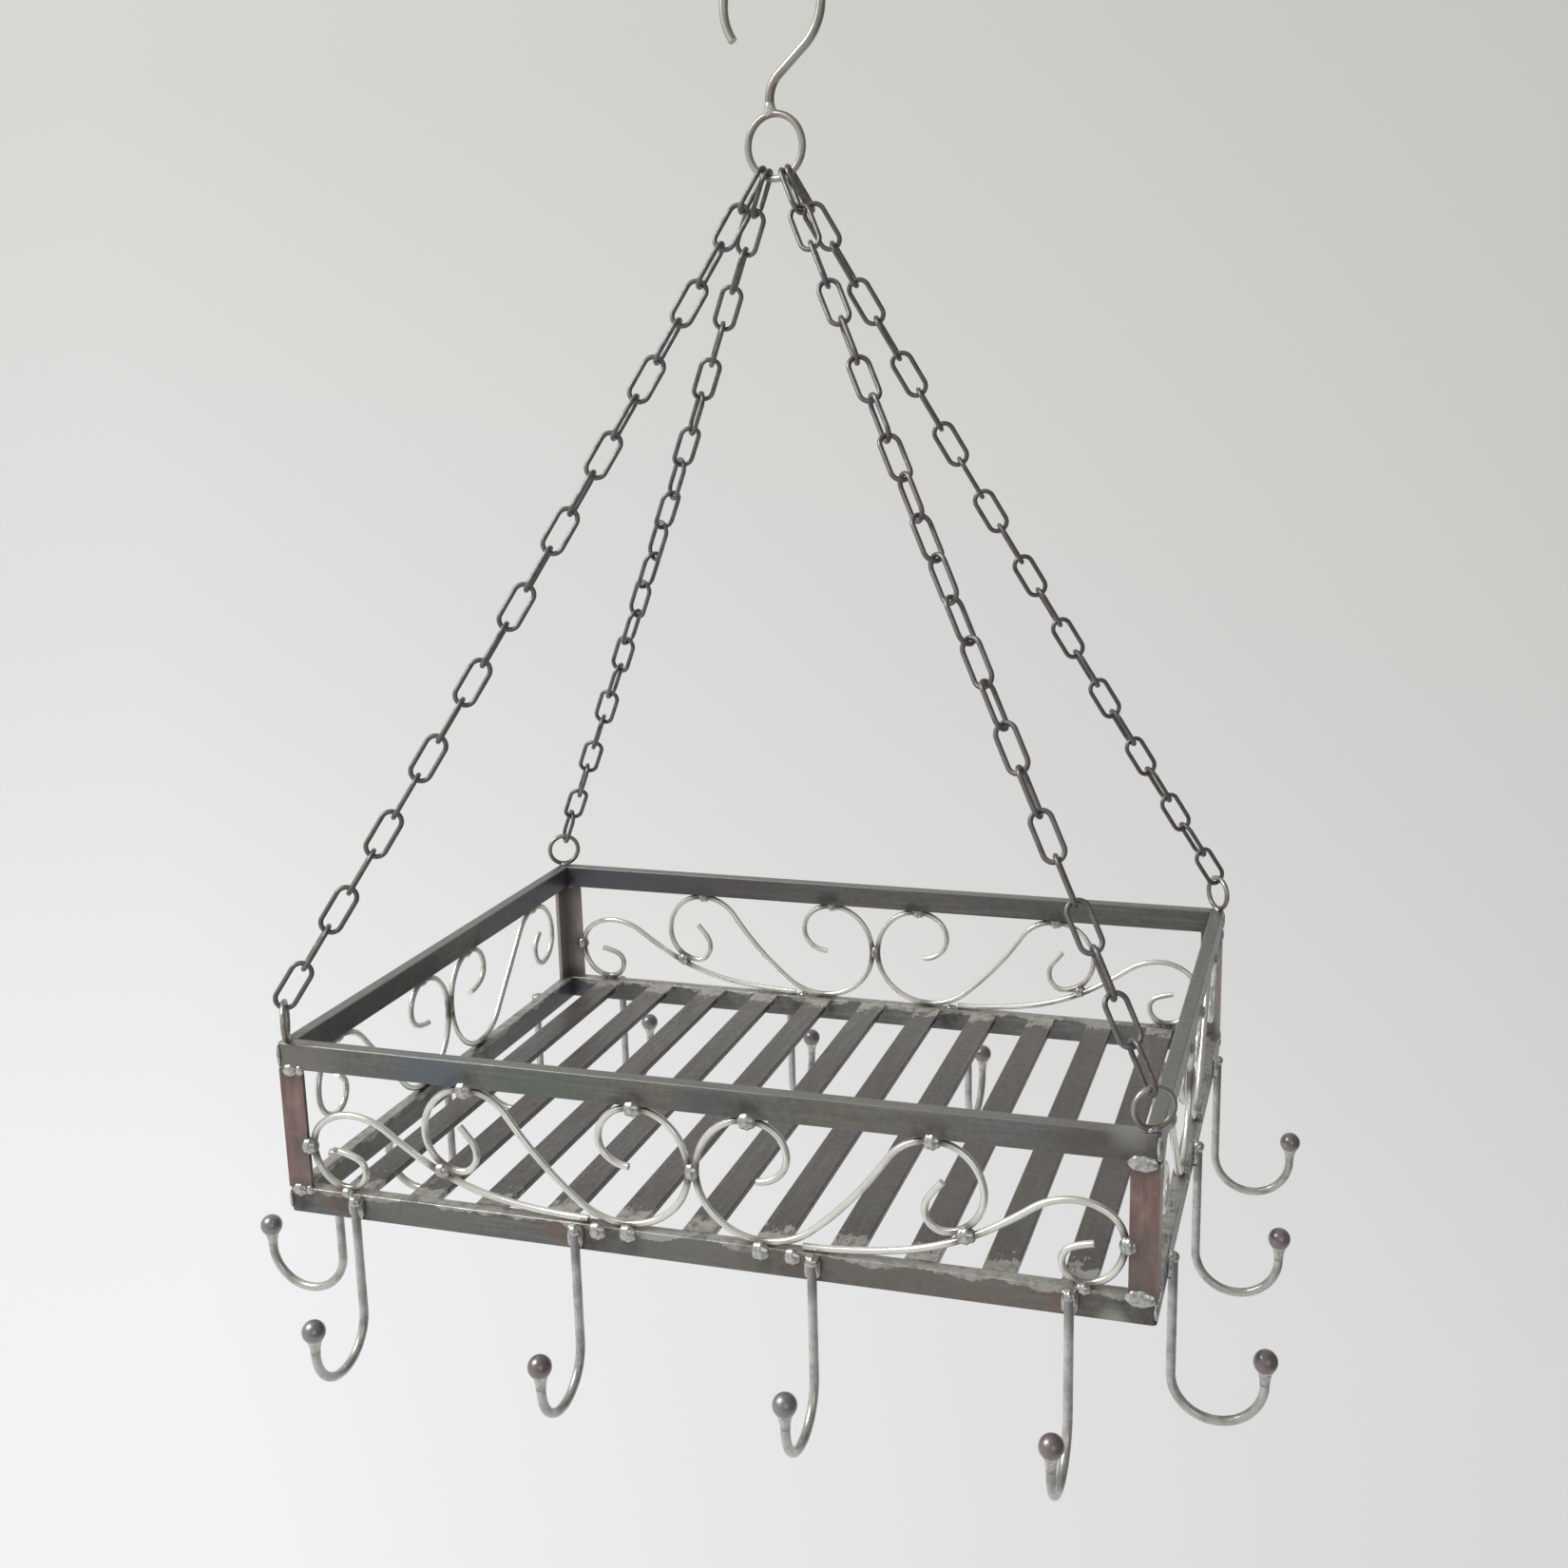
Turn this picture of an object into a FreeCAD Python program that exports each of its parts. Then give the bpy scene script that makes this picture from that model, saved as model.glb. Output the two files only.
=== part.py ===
import FreeCAD, Part

import math
import os

import Sketcher

# A wrought-steel pot rack that hangs from one ceiling hook.  A rectangular tray
# of flat bar has a slatted floor, scrollwork in its four sides and ball-ended
# pot hooks welded round its lower rail.  Four chains run from eyes on the tray's
# corners to a ring that is welded under the ceiling hook.
#
# Frame: millimetres, +Z up, +X along the tray's front rail, +Y to its back.
# The origin is the inside top of the ceiling hook, where the rack bears on
# whatever carries it, and the tray's centre is straight below.

Vec = FreeCAD.Vector
UP = Vec(0, 0, 1)
DOWN = Vec(0, 0, -1)
ALONG_X = Vec(1, 0, 0)
ALONG_Y = Vec(0, 1, 0)

# Two lengths in mm, or two unit vectors, are taken as equal within this.
TOLERANCE = 1e-6

DIMENSIONS = (
    # name, value in mm, degrees or pieces, meaning
    ("tray_width", 610.0, "outer size along the front rail"),
    ("tray_depth", 457.0, "outer size front to back"),
    ("tray_height", 127.0, "bottom of lower rails to top of upper rails"),
    ("bar_height", 19.0, "rail bar, upright face"),
    ("bar_thickness", 10.0, "rail bar, thickness"),
    ("bar_edge_radius", 1.0, "rounding along a rail's edges"),
    ("bar_corner_radius", 3.0, "ground corner of the tray"),
    ("post_leg", 18.0, "corner angle, leg width"),
    ("post_thickness", 3.0, "corner angle, leg thickness"),
    ("slat_count", 11, "floor slats"),
    ("slat_width", 22.0, "floor slat, width"),
    ("slat_thickness", 4.8, "floor slat, thickness"),
    ("slat_edge_radius", 0.8, "rounding along a slat's edges"),
    ("pot_hook_rod", 6.4, "pot hook rod, diameter"),
    ("pot_hook_pitch", 167.4, "spacing of pot hooks along a rail"),
    ("pot_hooks_wide", 4, "pot hooks on the front and on the back rail"),
    ("pot_hooks_deep", 3, "pot hooks on each side rail"),
    ("pot_hook_inset", 2.0, "rail's top down to the stem's upper end"),
    ("pot_hook_stem", 84.3, "stem's straight length"),
    ("pot_hook_bend", 30.1, "bend radius to the rod's centre"),
    ("pot_hook_tail", 17.0, "end of the bend up to the ball's centre"),
    ("ball_diameter", 16.0, "ball on a pot hook's end"),
    ("scroll_rod", 4.8, "scroll rod, diameter"),
    ("scroll_setback", 4.0, "rail's outer face in to the scroll's centre"),
    ("weld_gap", 0.1, "root gap left at a weld"),
    # Corner scroll: x from the post, or from the panel's centre for the tail.
    ("corner_tip_x", 22.0, "curl's end, from the post"),
    ("corner_tip_z", 29.5, "curl's end, above the lower rail"),
    ("corner_tip_fall", 10.0, "curl's end, steepness, degrees"),
    ("corner_throat_x", 42.0, "curl's inner side, from the post"),
    ("corner_throat_z", 16.0, "curl's inner side, height"),
    ("corner_foot_x", 28.0, "curl's foot on the rail, from the post"),
    ("corner_side_z", 32.0, "height where it touches the post"),
    ("corner_crown_x", 33.0, "curl's crown, from the post"),
    ("corner_crown_z", 57.5, "curl's crown, height"),
    ("corner_slope_x", 200.0, "middle of its slope, from the centre"),
    ("corner_slope_z", 31.0, "middle of its slope, height"),
    ("corner_slope_fall", 31.0, "steepness of its slope, degrees"),
    ("corner_tail_x", 76.0, "tail's end on the rail, from the centre"),
    # Centre scroll: x from the panel's centre.
    ("centre_tip_x", 169.0, "small curl's end"),
    ("centre_tip_z", 59.0, "small curl's end, height"),
    ("centre_tip_fall", 50.0, "small curl's end, steepness, degrees"),
    ("centre_throat_x", 157.5, "small curl's inner side"),
    ("centre_throat_z", 39.0, "small curl's inner side, height"),
    ("centre_belly_x", 170.0, "small curl's belly"),
    ("centre_belly_z", 25.5, "small curl's belly, height"),
    ("centre_back_x", 196.0, "small curl's back"),
    ("centre_back_z", 53.0, "small curl's back, height"),
    ("centre_crown_x", 163.0, "small curl's crown under the upper rail"),
    ("centre_slope_x", 110.0, "middle of its slope"),
    ("centre_slope_z", 41.0, "middle of its slope, height"),
    ("centre_slope_fall", 48.0, "steepness of its slope, degrees"),
    ("centre_foot_x", 49.0, "big curl's foot on the lower rail"),
    ("centre_side_z", 46.0, "height where the two scrolls touch"),
    ("centre_head_x", 40.0, "big curl's head under the upper rail"),
    ("centre_return_x", 66.0, "big curl's inner side"),
    ("centre_return_z", 63.0, "big curl's inner side, height"),
    ("centre_end_x", 45.0, "big curl's end"),
    ("centre_end_z", 44.0, "big curl's end, height"),
    # Side scroll: x from the panel's centre.
    ("side_end_x", 35.0, "big curl's end"),
    ("side_end_z", 50.0, "big curl's end, height"),
    ("side_return_x", 60.0, "big curl's inner side"),
    ("side_return_z", 66.0, "big curl's inner side, height"),
    ("side_head_x", 37.0, "big curl's head under the upper rail"),
    ("side_touch_z", 50.0, "height where the two scrolls touch"),
    ("side_foot_x", 48.0, "big curl's foot on the lower rail"),
    ("side_slope_x", 105.0, "middle of its slope"),
    ("side_slope_z", 46.0, "middle of its slope, height"),
    ("side_slope_rise", 48.0, "steepness of its slope, degrees"),
    ("side_crown_x", 158.0, "small curl's crown under the upper rail"),
    ("side_back_x", 191.0, "small curl's back"),
    ("side_back_z", 53.0, "small curl's back, height"),
    ("side_belly_x", 170.0, "small curl's belly"),
    ("side_belly_z", 31.0, "small curl's belly, height"),
    ("side_throat_x", 156.0, "small curl's inner side"),
    ("side_throat_z", 46.0, "small curl's inner side, height"),
    ("side_tip_x", 166.0, "small curl's end"),
    ("side_tip_z", 60.0, "small curl's end, height"),
    ("side_tip_rise", 35.0, "small curl's end, steepness, degrees"),
    # Eyes, chains, ring and ceiling hook.
    ("eye_diameter", 30.0, "corner eye, outer diameter"),
    ("eye_wire", 4.0, "corner eye, wire diameter"),
    ("eye_seat_angle", 10.0, "last link, inwards from the eye's top, degrees"),
    ("front_left_eye", 119.0, "the eye's plane from the front rail, degrees"),
    ("back_left_eye", 33.0, "the eye's plane from the front rail, degrees"),
    ("front_right_eye", 30.0, "the eye's plane from the front rail, degrees"),
    ("back_right_eye", -50.0, "the eye's plane from the front rail, degrees"),
    ("link_count", 22, "links in each chain"),
    ("link_wire", 3.5, "chain link, wire diameter"),
    ("link_width", 17.7, "chain link, outer width"),
    ("link_opening", 30.8, "chain link, inner length"),
    ("link_clearance", 0.27, "gap between one link and the next"),
    ("sway_clearance", 0.98, "gap between a first link and a second"),
    ("chain_sag", 3.0, "sag at the middle of a chain"),
    ("ring_diameter", 48.0, "top ring, outer diameter"),
    ("ring_wire", 5.0, "top ring, wire diameter"),
    ("ring_heading", -10.0, "the ring's plane from the front rail, degrees"),
    ("inner_link_angle", 20.0, "inner first link, round from the ring's foot"),
    ("outer_link_angle", 33.0, "outer first link, round from the ring's foot"),
    ("loop_rod", 6.4, "ceiling hook rod, diameter"),
    ("loop_radius", 38.0, "ceiling hook, bend radius to the rod's centre"),
    ("loop_overhang", 35.0, "free end below the loop's middle, degrees"),
    ("neck_offset", 3.4, "neck left of the ring's centre"),
    ("neck_sink", 1.5, "depth of the weld seat in the ring"),
    ("neck_straight", 6.5, "neck's upright length above the ring"),
    ("neck_bend", 22.0, "neck's bend radius to the rod's centre"),
    ("neck_lean", 50.0, "lean of the neck's slanting run, degrees"),
)

doc = FreeCAD.newDocument("HangingPotRack")
sheet = doc.addObject("Spreadsheet::Sheet", "Dimensions")
for row, (name, value, meaning) in enumerate(DIMENSIONS, start=1):
    sheet.set(f"A{row}", meaning)
    sheet.set(f"B{row}", str(value))
    sheet.setAlias(f"B{row}", name)
doc.recompute()

nodes = []


def size(name):
    """A driving dimension as the sheet holds it."""
    return float(sheet.get(name))


def count(name):
    return int(round(size(name)))


def bind(thing, prop, formula):
    """Tie a property to the sheet: names in braces are its aliases."""
    thing.setExpression(prop, formula.replace("{", "Dimensions.").replace("}", ""))


def finish(thing, label):
    """Name a sub-part, whose label becomes its file's name."""
    thing.Label = label
    nodes.append(thing)
    return thing


def place(thing, position, yaw=0.0):
    thing.Placement = FreeCAD.Placement(position, FreeCAD.Rotation(UP, yaw))


def in_degrees(angle):
    """Unit vector in a local XZ plane, from +X up towards +Z."""
    return Vec(math.cos(math.radians(angle)), 0, math.sin(math.radians(angle)))


# ---------------------------------------------------------------- flat bar


def origin_plane(body, role):
    return next(item for item in body.Origin.OriginFeatures if item.Role == role)


def new_sketch(body, name):
    sketch = body.newObject("Sketcher::SketchObject", name)
    sketch.AttachmentSupport = [(origin_plane(body, "XY_Plane"), "")]
    sketch.MapMode = "FlatFace"
    return sketch


def draw_outline(sketch, corners):
    """Closed outline of straight lines, each upright or level."""
    total = len(corners)
    for index, start in enumerate(corners):
        end = corners[(index + 1) % total]
        line = sketch.addGeometry(Part.LineSegment(start, end))
        direction = "Horizontal" if abs(end.y - start.y) < TOLERANCE else "Vertical"
        sketch.addConstraint(Sketcher.Constraint(direction, line))
    for index in range(total):
        link = Sketcher.Constraint("Coincident", index, 2, (index + 1) % total, 1)
        sketch.addConstraint(link)


def fix_length(sketch, kind, line, formula):
    """Bind the length of one line of a sketch to the sheet."""
    start, end = sketch.Geometry[line].StartPoint, sketch.Geometry[line].EndPoint
    span = abs(end.x - start.x) if kind == "DistanceX" else abs(end.y - start.y)
    forward = (end.x - start.x) + (end.y - start.y) > 0
    first, last = (1, 2) if forward else (2, 1)
    number = sketch.addConstraint(
        Sketcher.Constraint(kind, line, first, line, last, span)
    )
    bind(sketch, f"Constraints[{number}]", formula)


def straight_edges(shape, direction):
    """Names of a shape's edges that run along a direction."""
    names = []
    for number, edge in enumerate(shape.Edges, start=1):
        run = edge.Vertexes[-1].Point - edge.Vertexes[0].Point
        if abs(abs(run.normalize().dot(direction)) - 1) < TOLERANCE:
            names.append(f"Edge{number}")
    return names


def rim_edges(shape):
    """Names of the edges round a shape's lower and upper faces."""
    names = []
    for number, edge in enumerate(shape.Edges, start=1):
        if edge.BoundBox.ZLength < TOLERANCE:
            names.append(f"Edge{number}")
    return names


def bar_body(name, long_side, thickness, height):
    """A straight bar along X, centred on the origin, its underside at z = 0."""
    body = doc.addObject("PartDesign::Body", name)
    sketch = new_sketch(body, name + "_section")
    # Drawn at any size: the constraints below set the section.
    reach, half = 50.0, 5.0
    corners = [
        Vec(-reach, -half, 0),
        Vec(reach, -half, 0),
        Vec(reach, half, 0),
        Vec(-reach, half, 0),
    ]
    draw_outline(sketch, corners)
    sketch.addConstraint(Sketcher.Constraint("Symmetric", 0, 1, 2, 1, -1, 1))
    fix_length(sketch, "DistanceX", 0, long_side)
    fix_length(sketch, "DistanceY", 1, thickness)
    pad = body.newObject("PartDesign::Pad", name + "_bar")
    pad.Profile = sketch
    bind(pad, "Length", height)
    doc.recompute()
    return body, pad


def round_edges(body, base, edges, radius):
    fillet = body.newObject("PartDesign::Fillet", body.Name + "_round")
    fillet.Base = (base, edges)
    bind(fillet, "Radius", radius)
    body.Tip = fillet
    doc.recompute()
    return fillet


def long_rail(label, position, yaw):
    """A front or back rail, which runs the tray's whole width."""
    body, pad = bar_body(label, "{tray_width}", "{bar_thickness}", "{bar_height}")
    outer = -size("bar_thickness") / 2
    corners = []
    for number, edge in enumerate(pad.Shape.Edges, start=1):
        upright = edge.BoundBox.ZLength > size("bar_height") / 2
        if upright and abs(edge.BoundBox.YMin - outer) < TOLERANCE:
            corners.append(f"Edge{number}")
    ground = round_edges(body, pad, corners, "{bar_corner_radius}")
    round_edges(body, ground, rim_edges(ground.Shape), "{bar_edge_radius}")
    place(body, position, yaw)
    finish(body, label)


def short_rail(label, position, yaw):
    """A side rail, which butts between the front and back rails."""
    length = "{tray_depth} - 2 * {bar_thickness}"
    body, pad = bar_body(label, length, "{bar_thickness}", "{bar_height}")
    edges = straight_edges(pad.Shape, ALONG_X)
    round_edges(body, pad, edges, "{bar_edge_radius}")
    place(body, position, yaw)
    finish(body, label)


def rail_frame(level_name, underside):
    """Four rails whose undersides lie at one height."""
    front_y = (size("tray_depth") - size("bar_thickness")) / 2
    side_x = (size("tray_width") - size("bar_thickness")) / 2
    long_rail(f"{level_name}_rail_front", Vec(0, -front_y, underside), 0)
    long_rail(f"{level_name}_rail_back", Vec(0, front_y, underside), 180)
    short_rail(f"{level_name}_rail_left", Vec(-side_x, 0, underside), 90)
    short_rail(f"{level_name}_rail_right", Vec(side_x, 0, underside), 90)


def corner_post(label, corner, yaw, underside):
    """An upright angle bar, outer faces flush with the rails'."""
    body = doc.addObject("PartDesign::Body", label)
    sketch = new_sketch(body, label + "_section")
    leg, wall = size("post_leg"), size("post_thickness")
    corners = [
        Vec(0, 0, 0),
        Vec(leg, 0, 0),
        Vec(leg, wall, 0),
        Vec(wall, wall, 0),
        Vec(wall, leg, 0),
        Vec(0, leg, 0),
    ]
    draw_outline(sketch, corners)
    sketch.addConstraint(Sketcher.Constraint("Coincident", 0, 1, -1, 1))
    fix_length(sketch, "DistanceX", 0, "{post_leg}")
    fix_length(sketch, "DistanceY", 1, "{post_thickness}")
    fix_length(sketch, "DistanceX", 4, "{post_thickness}")
    fix_length(sketch, "DistanceY", 5, "{post_leg}")
    pad = body.newObject("PartDesign::Pad", label + "_bar")
    pad.Profile = sketch
    bind(pad, "Length", "{tray_height} - 2 * {bar_height}")
    body.Tip = pad
    place(body, Vec(corner.x, corner.y, underside), yaw)
    finish(body, label)


def floor_slat(label, x, underside):
    """A flat that butts between the lower front and back rails."""
    length = "{tray_depth} - 2 * {bar_thickness}"
    body, pad = bar_body(label, length, "{slat_width}", "{slat_thickness}")
    edges = straight_edges(pad.Shape, ALONG_X)
    round_edges(body, pad, edges, "{slat_edge_radius}")
    place(body, Vec(x, 0, underside), 90)
    finish(body, label)


def floor_slats(rail_top):
    """Slats with equal gaps between them and to the side rails."""
    total = count("slat_count")
    clear = size("tray_width") - 2 * size("bar_thickness")
    gap = (clear - total * size("slat_width")) / (total + 1)
    pitch = size("slat_width") + gap
    underside = rail_top - size("slat_thickness")
    for number in range(total):
        x = (number - (total - 1) / 2) * pitch
        floor_slat(f"floor_slat_{number + 1:02d}", x, underside)


# --------------------------------------------------------------- bent rod


def arc_edge(start, heading, end):
    """The arc that leaves a point along a heading and ends at another."""
    chord = end - start
    along = Vec(chord).normalize()
    bulge = heading - along * heading.dot(along)
    if bulge.Length < TOLERANCE:
        return Part.LineSegment(start, end).toShape()
    turn = math.acos(max(-1.0, min(1.0, heading.dot(along))))
    rise = chord.Length / 2 * math.tan(turn / 2)
    middle = (start + end) * 0.5 + bulge.normalize() * rise
    return Part.Arc(start, middle, end).toShape()


def biarc_edges(start, heading, end, last_heading):
    """Two arcs, tangent to each other, from one heading to another."""
    chord = end - start
    both = heading + last_heading
    spread = 2 * (1 - heading.dot(last_heading))
    pull = chord.dot(both)
    if spread < TOLERANCE:
        reach = chord.dot(chord) / (2 * pull)
    else:
        reach = math.sqrt(pull**2 + spread * chord.dot(chord)) - pull
        reach = reach / spread
    joint = (start + end + (heading - last_heading) * reach) * 0.5
    second_heading = (end - last_heading * reach) - (start + heading * reach)
    return [
        arc_edge(start, heading, joint),
        arc_edge(joint, second_heading.normalize(), end),
    ]


def smooth_path(stations):
    """A wire through (point, heading) stations."""
    edges = []
    for (start, heading), (end, last_heading) in zip(stations, stations[1:]):
        edges += biarc_edges(start, heading, end, last_heading)
    return Part.Wire(edges)


def bent_rod(name, path_shape, heading, diameter_name):
    """Round rod swept along a wire that starts along a heading."""
    path = doc.addObject("Part::Feature", name + "_path")
    path.Shape = path_shape
    section = doc.addObject("Part::Circle", name + "_section")
    bind(section, "Radius", f"{{{diameter_name}}} / 2")
    start = path_shape.OrderedVertexes[0].Point
    section.Placement = FreeCAD.Placement(start, FreeCAD.Rotation(UP, heading))
    rod = doc.addObject("Part::Sweep", name)
    rod.Sections = [section]
    edge_names = [f"Edge{number + 1}" for number in range(len(path_shape.Edges))]
    rod.Spine = (path, edge_names)
    rod.Solid = True
    return rod


# ------------------------------------------------------------- scrollwork

# A scroll is listed as stations (x, z, heading) in its panel: x across the
# panel, z above the lower rail's top face, heading in degrees from +x up.


def rail_contact():
    """Height of a scroll rod's centre where it is welded on the lower rail."""
    return size("scroll_rod") / 2 + size("weld_gap")


def panel_clear_height():
    return size("tray_height") - 2 * size("bar_height")


def corner_scroll():
    """From the curl beside the left post to the tail on the lower rail."""
    post_x = -(size("tray_width") / 2 - size("post_leg"))
    foot = rail_contact()
    tip_aim = -size("corner_tip_fall")
    slope = -size("corner_slope_fall")
    slope_point = (-size("corner_slope_x"), size("corner_slope_z"), slope)
    return [
        (post_x + size("corner_tip_x"), size("corner_tip_z"), tip_aim),
        (post_x + size("corner_throat_x"), size("corner_throat_z"), -90),
        (post_x + size("corner_foot_x"), foot, 180),
        (post_x + foot, size("corner_side_z"), 90),
        (post_x + size("corner_crown_x"), size("corner_crown_z"), 0),
        slope_point,
        (-size("corner_tail_x"), foot, 0),
    ]


def centre_scroll():
    """From the small curl on the left to the big curl at the centre."""
    foot = rail_contact()
    head = panel_clear_height() - foot
    slope = -size("centre_slope_fall")
    return [
        (-size("centre_tip_x"), size("centre_tip_z"), -size("centre_tip_fall")),
        (-size("centre_throat_x"), size("centre_throat_z"), -90),
        (-size("centre_belly_x"), size("centre_belly_z"), 180),
        (-size("centre_back_x"), size("centre_back_z"), 90),
        (-size("centre_crown_x"), head, 0),
        (-size("centre_slope_x"), size("centre_slope_z"), slope),
        (-size("centre_foot_x"), foot, 0),
        (-foot, size("centre_side_z"), 90),
        (-size("centre_head_x"), head, 180),
        (-size("centre_return_x"), size("centre_return_z"), -90),
        (-size("centre_end_x"), size("centre_end_z"), 0),
    ]


def side_scroll():
    """From the big curl at the centre to the small curl by the post."""
    foot = rail_contact()
    head = panel_clear_height() - foot
    return [
        (size("side_end_x"), size("side_end_z"), 0),
        (size("side_return_x"), size("side_return_z"), 90),
        (size("side_head_x"), head, 180),
        (foot, size("side_touch_z"), -90),
        (size("side_foot_x"), foot, 0),
        (size("side_slope_x"), size("side_slope_z"), size("side_slope_rise")),
        (size("side_crown_x"), head, 0),
        (size("side_back_x"), size("side_back_z"), -90),
        (size("side_belly_x"), size("side_belly_z"), 180),
        (size("side_throat_x"), size("side_throat_z"), 90),
        (size("side_tip_x"), size("side_tip_z"), size("side_tip_rise")),
    ]


def scroll(label, stations, panel, mirror):
    """One scroll, in a panel given as (centre on the rail, direction of x)."""
    centre, across = panel
    flat = []
    for x, z, angle in stations:
        aim = in_degrees(angle)
        point = centre + across * (x * mirror) + UP * z
        flat.append((point, across * (aim.x * mirror) + UP * aim.z))
    rod = bent_rod(label, smooth_path(flat), flat[0][1], "scroll_rod")
    finish(rod, label)


def scrollwork(rail_top):
    """Two pairs of scrolls front and back, one pair in each side."""
    front_y = size("tray_depth") / 2 - size("scroll_setback")
    side_x = size("tray_width") / 2 - size("scroll_setback")
    for face, y in (("front", -front_y), ("back", front_y)):
        panel = (Vec(0, y, rail_top), ALONG_X)
        for hand, mirror in (("left", 1), ("right", -1)):
            scroll(f"{face}_corner_scroll_{hand}", corner_scroll(), panel, mirror)
            scroll(f"{face}_centre_scroll_{hand}", centre_scroll(), panel, mirror)
    for face, x in (("left", -side_x), ("right", side_x)):
        panel = (Vec(x, 0, rail_top), ALONG_Y)
        for hand, mirror in (("back", 1), ("front", -1)):
            scroll(f"{face}_side_scroll_{hand}", side_scroll(), panel, mirror)


# -------------------------------------------------------------- pot hooks


def round_bar(name, diameter_name, length_name):
    bar = doc.addObject("Part::Cylinder", name)
    bind(bar, "Radius", f"{{{diameter_name}}} / 2")
    bind(bar, "Height", f"{{{length_name}}}")
    return bar


def pot_hook(label, stem_top, yaw):
    """Stem down the rail's face, a half-turn bend outwards and a ball."""
    turn = FreeCAD.Rotation(UP, yaw)
    outward = turn.multVec(ALONG_X)
    bend_height = stem_top - UP * size("pot_hook_stem")
    stem = round_bar(label + "_stem", "pot_hook_rod", "pot_hook_stem")
    stem.Placement.Base = bend_height
    bend = doc.addObject("Part::Torus", label + "_bend")
    bind(bend, "Radius1", "{pot_hook_bend}")
    bind(bend, "Radius2", "{pot_hook_rod} / 2")
    bend.Angle3 = 180
    hang = turn.multiply(FreeCAD.Rotation(ALONG_X, -90))
    centre = bend_height + outward * size("pot_hook_bend")
    bend.Placement = FreeCAD.Placement(centre, hang)
    far_side = centre + outward * size("pot_hook_bend")
    tail = round_bar(label + "_tail", "pot_hook_rod", "pot_hook_tail")
    tail.Placement.Base = far_side
    rod = doc.addObject("Part::MultiFuse", label + "_rod")
    rod.Shapes = [stem, bend, tail]
    ball = doc.addObject("Part::Sphere", label + "_ball")
    bind(ball, "Radius", "{ball_diameter} / 2")
    ball.Placement.Base = far_side + UP * size("pot_hook_tail")
    seated = doc.addObject("Part::Cut", label + "_seated_rod")
    seated.Base = rod
    seated.Tool = ball
    hook = doc.addObject("Part::Compound", label)
    hook.Links = [seated, ball]
    finish(hook, label)


def row_of_hooks(face, total, middle, along, yaw):
    """Pot hooks at one pitch along a rail's outer face."""
    for number in range(total):
        shift = (number - (total - 1) / 2) * size("pot_hook_pitch")
        pot_hook(f"pot_hook_{face}_{number + 1}", middle + along * shift, yaw)


def pot_hooks(rail_top):
    top = rail_top - size("pot_hook_inset")
    out_y = (size("tray_depth") + size("pot_hook_rod")) / 2
    out_x = (size("tray_width") + size("pot_hook_rod")) / 2
    wide, deep = count("pot_hooks_wide"), count("pot_hooks_deep")
    row_of_hooks("front", wide, Vec(0, -out_y, top), ALONG_X, -90)
    row_of_hooks("back", wide, Vec(0, out_y, top), ALONG_X, 90)
    row_of_hooks("left", deep, Vec(-out_x, 0, top), ALONG_Y, 180)
    row_of_hooks("right", deep, Vec(out_x, 0, top), ALONG_Y, 0)


# --------------------------------------------- ring, ceiling hook and eyes


def level_heading(angle):
    return Vec(math.cos(math.radians(angle)), math.sin(math.radians(angle)), 0)


def ring_tangent():
    """Level direction in the ring's plane, towards +X."""
    return level_heading(size("ring_heading"))


def ring(name, diameter_name, wire_name, centre, tangent):
    """An upright ring of round wire whose plane holds a level tangent."""
    torus = doc.addObject("Part::Torus", name)
    bind(torus, "Radius1", f"({{{diameter_name}}} - {{{wire_name}}}) / 2")
    bind(torus, "Radius2", f"{{{wire_name}}} / 2")
    axis = UP.cross(tangent)
    torus.Placement = FreeCAD.Placement(centre, FreeCAD.Rotation(UP, axis))
    return torus


def slant_run():
    """Length of the neck's slanting run, from its bend to the loop."""
    lean = math.radians(size("neck_lean"))
    across = size("loop_radius") * math.cos(lean)
    bend_end = size("neck_bend") * (1 - math.cos(lean)) - size("neck_offset")
    return (across - bend_end) / math.sin(lean)


def ring_to_loop():
    """Height of the ceiling hook's loop centre above the ring's centre."""
    lean = math.radians(size("neck_lean"))
    rise = size("ring_diameter") / 2 + size("neck_straight")
    rise += size("neck_bend") * math.sin(lean)
    rise += slant_run() * math.cos(lean)
    return rise + size("loop_radius") * math.sin(lean)


def ring_centre():
    """The origin is the loop's inside top, and the ring hangs under it."""
    loop_inside = size("loop_radius") - size("loop_rod") / 2
    return DOWN * (loop_inside + ring_to_loop())


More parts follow.
